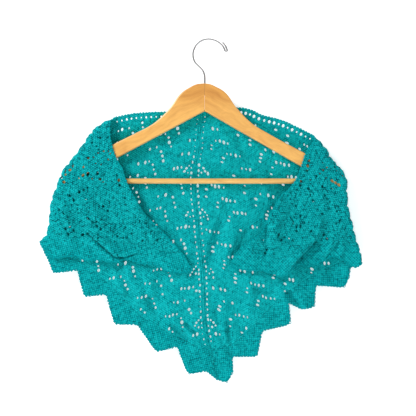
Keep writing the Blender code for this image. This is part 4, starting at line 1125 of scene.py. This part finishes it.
def stitch_group() -> bpy.types.NodeTree:
    """The relief of knitted rows: wavy strands of stitches, each row set over from the last by a share of a stitch."""
    if "stitches" in bpy.data.node_groups:
        return bpy.data.node_groups["stitches"]
    tree = bpy.data.node_groups.new("stitches", "ShaderNodeTree")
    face = tree.interface
    face.new_socket("Vector", in_out="INPUT", socket_type="NodeSocketVector")
    for label in ("Stitch", "Ridge", "Wander", "Set over"):
        face.new_socket(label, in_out="INPUT", socket_type="NodeSocketFloat")
    for label in ("Height", "Tone", "Fuzz"):
        face.new_socket(label, in_out="OUTPUT", socket_type="NodeSocketFloat")
    graph = Graph(tree)
    start, end = tree.nodes.new("NodeGroupInput"), tree.nodes.new("NodeGroupOutput")
    drift = graph.node("ShaderNodeVectorMath")
    drift.operation = "SCALE"
    noise = graph.noise(start.outputs["Vector"], 110.0, 2.0)
    centred = graph.vector("SUBTRACT", noise.outputs["Color"], (0.5, 0.5, 0.5))
    tree.links.new(centred, drift.inputs[0])
    tree.links.new(start.outputs["Wander"], drift.inputs["Scale"])
    moved = graph.vector("ADD", start.outputs["Vector"], drift.outputs[0])
    parts = graph.node("ShaderNodeSeparateXYZ", Vector=moved)
    u = graph.math("DIVIDE", parts.outputs["X"], start.outputs["Stitch"])
    v = graph.math("DIVIDE", parts.outputs["Y"], start.outputs["Ridge"])
    row = graph.math("FLOOR", v)
    shifted = graph.math("ADD", u, graph.math("FRACT", graph.math("MULTIPLY", row, start.outputs["Set over"])))
    across = graph.math("FRACT", v)
    wave = graph.math("COSINE", graph.math("MULTIPLY", shifted, 2 * math.pi))
    middle = graph.math("MULTIPLY_ADD", wave, 0.12, 0.5)
    away = graph.math("ABSOLUTE", graph.math("SUBTRACT", across, middle))
    strand = graph.smooth(away, 0.46, 0.06)
    bead = graph.smooth(wave, -1.1, 0.5)
    fuzz = graph.noise(moved, 1900.0, 3.0, 0.6).outputs["Fac"]
    height = graph.math("MULTIPLY", strand, bead)
    cell = graph.node("ShaderNodeCombineXYZ", X=graph.math("FLOOR", shifted), Y=row)
    tone = graph.node("ShaderNodeTexWhiteNoise", Vector=cell.outputs[0]).outputs["Value"]
    for label, value in (("Height", height), ("Tone", tone), ("Fuzz", fuzz)):
        tree.links.new(value, end.inputs[label])
    return tree


def new_material(name: str) -> tuple[bpy.types.Material, Graph, bpy.types.Node]:
    """A new material with its graph and its shader."""
    made = bpy.data.materials.new(name)
    made.use_nodes = True
    return made, Graph(made.node_tree), made.node_tree.nodes["Principled BSDF"]


@dataclass(frozen=True)
class YarnFinish:
    """Soft turquoise wool, knitted, with painted shade and painted shadow specks in its colour. Sizes in millimetres.
    """

    name: str
    stitch: float = 3.2
    ridge: float = 3.0
    wander: float = 2.4
    set_over: float = 0.5
    contrast: float = 0.7
    mean: float = 0.6
    # painted shade: how far the hollows between stitches are darkened in colour
    gap_shade: float = 0.35
    # painted shadow: how dark the specks are where shade would show through open stitches
    shadow_specks: float = 0.0
    relief: float = 1.1
    # the ramp's darkest colour, reached by the painted shade of the hollows and the painted shadow specks
    deep_shade: Row = (0.0, 0.045, 0.06)
    dark: Row = (0.0, 0.19, 0.215)
    plain: Row = (0.0, 0.355, 0.385)
    light: Row = (0.008, 0.56, 0.58)

    def material(self) -> bpy.types.Material:
        """The knitting's material, on the "Knit" map, with painted shade in the hollows between stitches."""
        made, graph, shader = new_material(self.name)
        laid = graph.node("ShaderNodeUVMap")
        laid.uv_map = "Knit"
        uv = laid.outputs["UV"]
        knit = graph.node("ShaderNodeGroup")
        knit.node_tree = stitch_group()
        graph.set(knit, Vector=uv, Stitch=self.stitch * MM, Ridge=self.ridge * MM, Wander=self.wander * MM)
        graph.set(knit, Set_over=self.set_over)
        patches = graph.noise(uv, 55.0, 3.0, 0.6).outputs["Fac"]
        clumps = graph.noise(uv, 260.0, 2.0, 0.6).outputs["Fac"]
        # painted shade: colour darker in the stitches' hollows and lighter on their tops, by the relief's height
        tone = graph.math("MULTIPLY_ADD", knit.outputs["Height"], 0.55, -0.48)
        for part, share in ((knit.outputs["Tone"], 0.4), (knit.outputs["Fuzz"], 0.3), (patches, 0.5), (clumps, 0.6)):
            tone = graph.math("MULTIPLY_ADD", part, share, tone)
        # painted shade: the hollows between stitches darkened in colour, in clumps
        low = graph.smooth(knit.outputs["Height"], 0.55, 0.1)
        gap_shade_mask = graph.math("MULTIPLY", graph.smooth(clumps, 0.52, 0.4), low)
        tone = graph.math("SUBTRACT", tone, graph.math("MULTIPLY", gap_shade_mask, self.gap_shade))
        # painted shadow: dark specks along the rows, where shade would show through open stitches
        if self.shadow_specks:
            long = graph.vector("MULTIPLY", uv, (1.0, 0.42, 1.0))
            marks = graph.noise(long, 230.0, 1.0, 0.4).outputs["Fac"]
            where = graph.smooth(graph.noise(uv, 38.0, 1.0).outputs["Fac"], 0.42, 0.6)
            speck_shadow_mask = graph.math("MULTIPLY", graph.smooth(marks, 0.6, 0.68), where)
            tone = graph.math("SUBTRACT", tone, graph.math("MULTIPLY", speck_shadow_mask, self.shadow_specks))
        tone = graph.math("MULTIPLY_ADD", tone, self.contrast, self.mean - 0.5 * self.contrast)
        stops = ((0.1, self.deep_shade), (0.34, self.dark), (0.55, self.plain), (0.85, self.light))
        graph.feed(shader.inputs["Base Color"], graph.ramp(tone, stops))
        graph.set(shader, Roughness=0.9, Sheen_Weight=0.01, Sheen_Roughness=0.5, Specular_IOR_Level=0.03)
        height = graph.math("MULTIPLY_ADD", knit.outputs["Fuzz"], 0.25, knit.outputs["Height"])
        bump = graph.node("ShaderNodeBump", Strength=0.9, Distance=self.relief * MM, Height=height)
        graph.feed(shader.inputs["Normal"], bump.outputs["Normal"])
        return made


@dataclass(frozen=True)
class WoodFinish:
    """Pale wood under a clear satin lacquer, with its grain along one direction."""

    name: str
    lean_degrees: float
    light: Row
    dark: Row
    # painted shade: a colour multiplied over the top of the hump, from hump_foot_z up, to darken it
    hump_shade: Row | None = None
    hump_foot_z: float = -0.112
    hump_top_z: float = -0.082

    def material(self) -> bpy.types.Material:
        """The wood's material, on Object coordinates."""
        made, graph, shader = new_material(self.name)
        place = graph.node("ShaderNodeTexCoord").outputs["Object"]
        turned = graph.node("ShaderNodeMapping", Vector=place)
        turned.inputs["Rotation"].default_value = (0.0, math.radians(self.lean_degrees), 0.0)
        stretched = graph.vector("MULTIPLY", turned.outputs["Vector"], (6.0, 90.0, 90.0))
        warp = graph.noise(turned.outputs["Vector"], 14.0, 2.0).outputs["Color"]
        along = graph.vector("ADD", stretched, graph.vector("MULTIPLY", warp, (2.0, 5.0, 5.0)))
        bands = graph.noise(along, 1.1, 4.0, 0.55).outputs["Fac"]
        pores = graph.noise(graph.vector("MULTIPLY", turned.outputs["Vector"], (60.0, 1400.0, 1400.0)), 1.0, 2.0)
        grain = graph.math("MULTIPLY_ADD", pores.outputs["Fac"], 0.3, graph.math("MULTIPLY", bands, 0.7))
        colour = graph.ramp(grain, ((0.3, self.dark), (0.62, self.light)))
        # painted shade: the hump darkens towards its top
        if self.hump_shade:
            parts = graph.node("ShaderNodeSeparateXYZ", Vector=place)
            high = graph.smooth(parts.outputs["Z"], self.hump_foot_z, self.hump_top_z)
            mixed = graph.node("ShaderNodeMix")
            mixed.data_type = "RGBA"
            mixed.blend_type = "MULTIPLY"
            graph.feed(mixed.inputs[0], high)
            graph.feed(mixed.inputs[6], colour)
            mixed.inputs[7].default_value = (*self.hump_shade, 1.0)
            colour = mixed.outputs[2]
        graph.feed(shader.inputs["Base Color"], colour)
        graph.feed(shader.inputs["Roughness"], graph.math("MULTIPLY_ADD", grain, 0.16, 0.3))
        graph.set(shader, Coat_Weight=0.3, Coat_Roughness=0.2)
        bump = graph.node("ShaderNodeBump", Strength=0.25, Distance=0.0003, Height=grain)
        graph.feed(shader.inputs["Normal"], bump.outputs["Normal"])
        return made


@dataclass(frozen=True)
class SteelFinish:
    """Bright drawn wire."""

    name: str = "steel_wire"
    colour: Row = (0.58, 0.58, 0.59)

    def material(self) -> bpy.types.Material:
        """The wire's material, with faint drawing marks."""
        made, graph, shader = new_material(self.name)
        place = graph.node("ShaderNodeTexCoord").outputs["Object"]
        marks = graph.noise(place, 900.0, 3.0).outputs["Fac"]
        graph.set(shader, Metallic=1.0)
        tint = graph.ramp(marks, ((0.3, tuple(0.8 * c for c in self.colour)), (0.7, self.colour)))
        graph.feed(shader.inputs["Base Color"], tint)
        graph.feed(shader.inputs["Roughness"], graph.math("MULTIPLY_ADD", marks, 0.14, 0.14))
        return made


@dataclass(frozen=True)
class Hanger:
    """The flat wooden hanger: two arms, a trouser bar and a wire hook, dressed on their solids."""

    arm_light: Row = (0.88, 0.48, 0.12)
    arm_dark: Row = (0.68, 0.31, 0.07)
    # painted shade multiplied over the top of the arms' hump
    hump_shade: Row = (0.84, 0.74, 0.6)
    bar_light: Row = (0.9, 0.55, 0.17)
    bar_dark: Row = (0.72, 0.38, 0.1)
    lean: float = 28.0

    def dress(self) -> None:
        """Gives each solid its finish."""
        finishes = {
            "arm_left": WoodFinish("wood_arm_left", self.lean, self.arm_light, self.arm_dark, self.hump_shade),
            "arm_right": WoodFinish("wood_arm_right", -self.lean, self.arm_light, self.arm_dark, self.hump_shade),
            "trouser_bar": WoodFinish("wood_bar", 0.0, self.bar_light, self.bar_dark),
            "hook": SteelFinish(),
        }
        for node, finish in finishes.items():
            skin = finish.material()
            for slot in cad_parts[node].material_slots:
                slot.material = skin
            LOG.info("%s: dressed in %s", node, skin.name)


# The soft boxes. Columns: name, place, size, power in watts
LIGHTS = (("key", (-1.3, -1.1, 0.9), 0.7, 30.0), ("fill", (0.9, -1.8, 0.1), 1.8, 3.0))


@dataclass(frozen=True)
class Studio:
    """A white wall and floor, soft light from the upper left and the camera."""

    view_width: float = 0.649
    distance: float = 1.6
    middle_z: float = -0.262
    wall_y: float = 0.025
    wall_glow: float = 0.5
    wall_top_z: float = 1.5
    floor_z: float = -0.85
    stage_half_width: float = 2.0
    sky: float = 0.38
    sensor_mm: float = 36.0

    def build(self) -> None:
        """Makes the stage, the lights and the camera."""
        scene = bpy.context.scene
        scene.view_settings.view_transform = "Standard"
        scene.view_settings.look = "None"
        self._camera(scene)
        self._world(scene)
        for name, place, size, power in LIGHTS:
            self._light(name, place, size, power)
        side, low, top = self.stage_half_width, self.floor_z, self.wall_top_z
        corners = ((-side, low), (side, low), (side, top), (-side, top))
        self._plane("wall", [(x, self.wall_y, z) for x, z in corners], True)
        corners = ((-side, -side), (side, -side), (side, side), (-side, side))
        self._plane("floor", [(x, y, low) for x, y in corners], False)

    def _camera(self, scene: bpy.types.Scene) -> None:
        """The camera, level with the middle of the picture."""
        data = bpy.data.cameras.new("camera")
        data.sensor_width = self.sensor_mm
        data.lens = self.sensor_mm * self.distance / self.view_width
        made = bpy.data.objects.new("camera", data)
        made.location = (0.0, -self.distance, self.middle_z)
        made.rotation_euler = (math.pi / 2, 0.0, 0.0)
        scene.collection.objects.link(made)
        scene.camera = made

    def _world(self, scene: bpy.types.Scene) -> None:
        """White light from all round."""
        world = bpy.data.worlds.new("studio")
        world.use_nodes = True
        back = world.node_tree.nodes["Background"]
        back.inputs["Color"].default_value = (1.0, 1.0, 1.0, 1.0)
        back.inputs["Strength"].default_value = self.sky
        scene.world = world

    def _light(self, name: str, place: Row, size: float, power: float) -> None:
        """A square soft box aimed at the shawl."""
        data = bpy.data.lights.new(name, "AREA")
        data.shape, data.size, data.energy = "SQUARE", size, power
        made = bpy.data.objects.new(name, data)
        made.location = place
        aim = Vector((0.0, 0.0, self.middle_z)) - Vector(place)
        made.rotation_euler = aim.to_track_quat("-Z", "Y").to_euler()
        bpy.context.scene.collection.objects.link(made)

    def _plane(self, name: str, corners: list, one_sided: bool) -> None:
        """A plain white surface; a one-sided one is clear from behind."""
        mesh = bpy.data.meshes.new(name)
        mesh.from_pydata(corners, [], [(0, 1, 2, 3)])
        made = bpy.data.objects.new(name, mesh)
        skin, graph, shader = new_material(name)
        graph.set(shader, Base_Color=(0.85, 0.85, 0.85, 1.0), Roughness=0.9, Specular_IOR_Level=0.0)
        graph.set(shader, Emission_Color=(1.0, 1.0, 1.0, 1.0), Emission_Strength=self.wall_glow)
        if one_sided:
            behind = graph.node("ShaderNodeNewGeometry").outputs["Backfacing"]
            mixed = graph.node("ShaderNodeMixShader", Fac=behind)
            graph.feed(mixed.inputs[1], shader.outputs["BSDF"])
            graph.feed(mixed.inputs[2], graph.node("ShaderNodeBsdfTransparent").outputs["BSDF"])
            graph.set(graph.tree.nodes["Material Output"], Surface=mixed.outputs["Shader"])
        mesh.materials.append(skin)
        bpy.context.scene.collection.objects.link(made)


def main() -> None:
    """Builds the shawl, dresses the hanger and sets the studio."""
    logging.basicConfig(level=logging.INFO, format="%(name)s: %(message)s")
    lace = YarnFinish("lace_yarn", contrast=0.6, mean=0.62, gap_shade=0.2)
    # the wings' copy of the yarn is darker, with painted shade and painted shadow specks for the shade behind their
    # open stitches
    loose = YarnFinish("wing_yarn", contrast=0.68, mean=0.56, gap_shade=0.28, shadow_specks=0.38, relief=1.4, wander=3.0)
    garter = YarnFinish("garter_yarn", contrast=0.6, mean=0.53, wander=1.6, set_over=0.0, gap_shade=0.2)
    Shawl().build(lace, loose, garter)
    Hanger().dress()
    Studio().build()


if __name__ == "__main__":
    main()
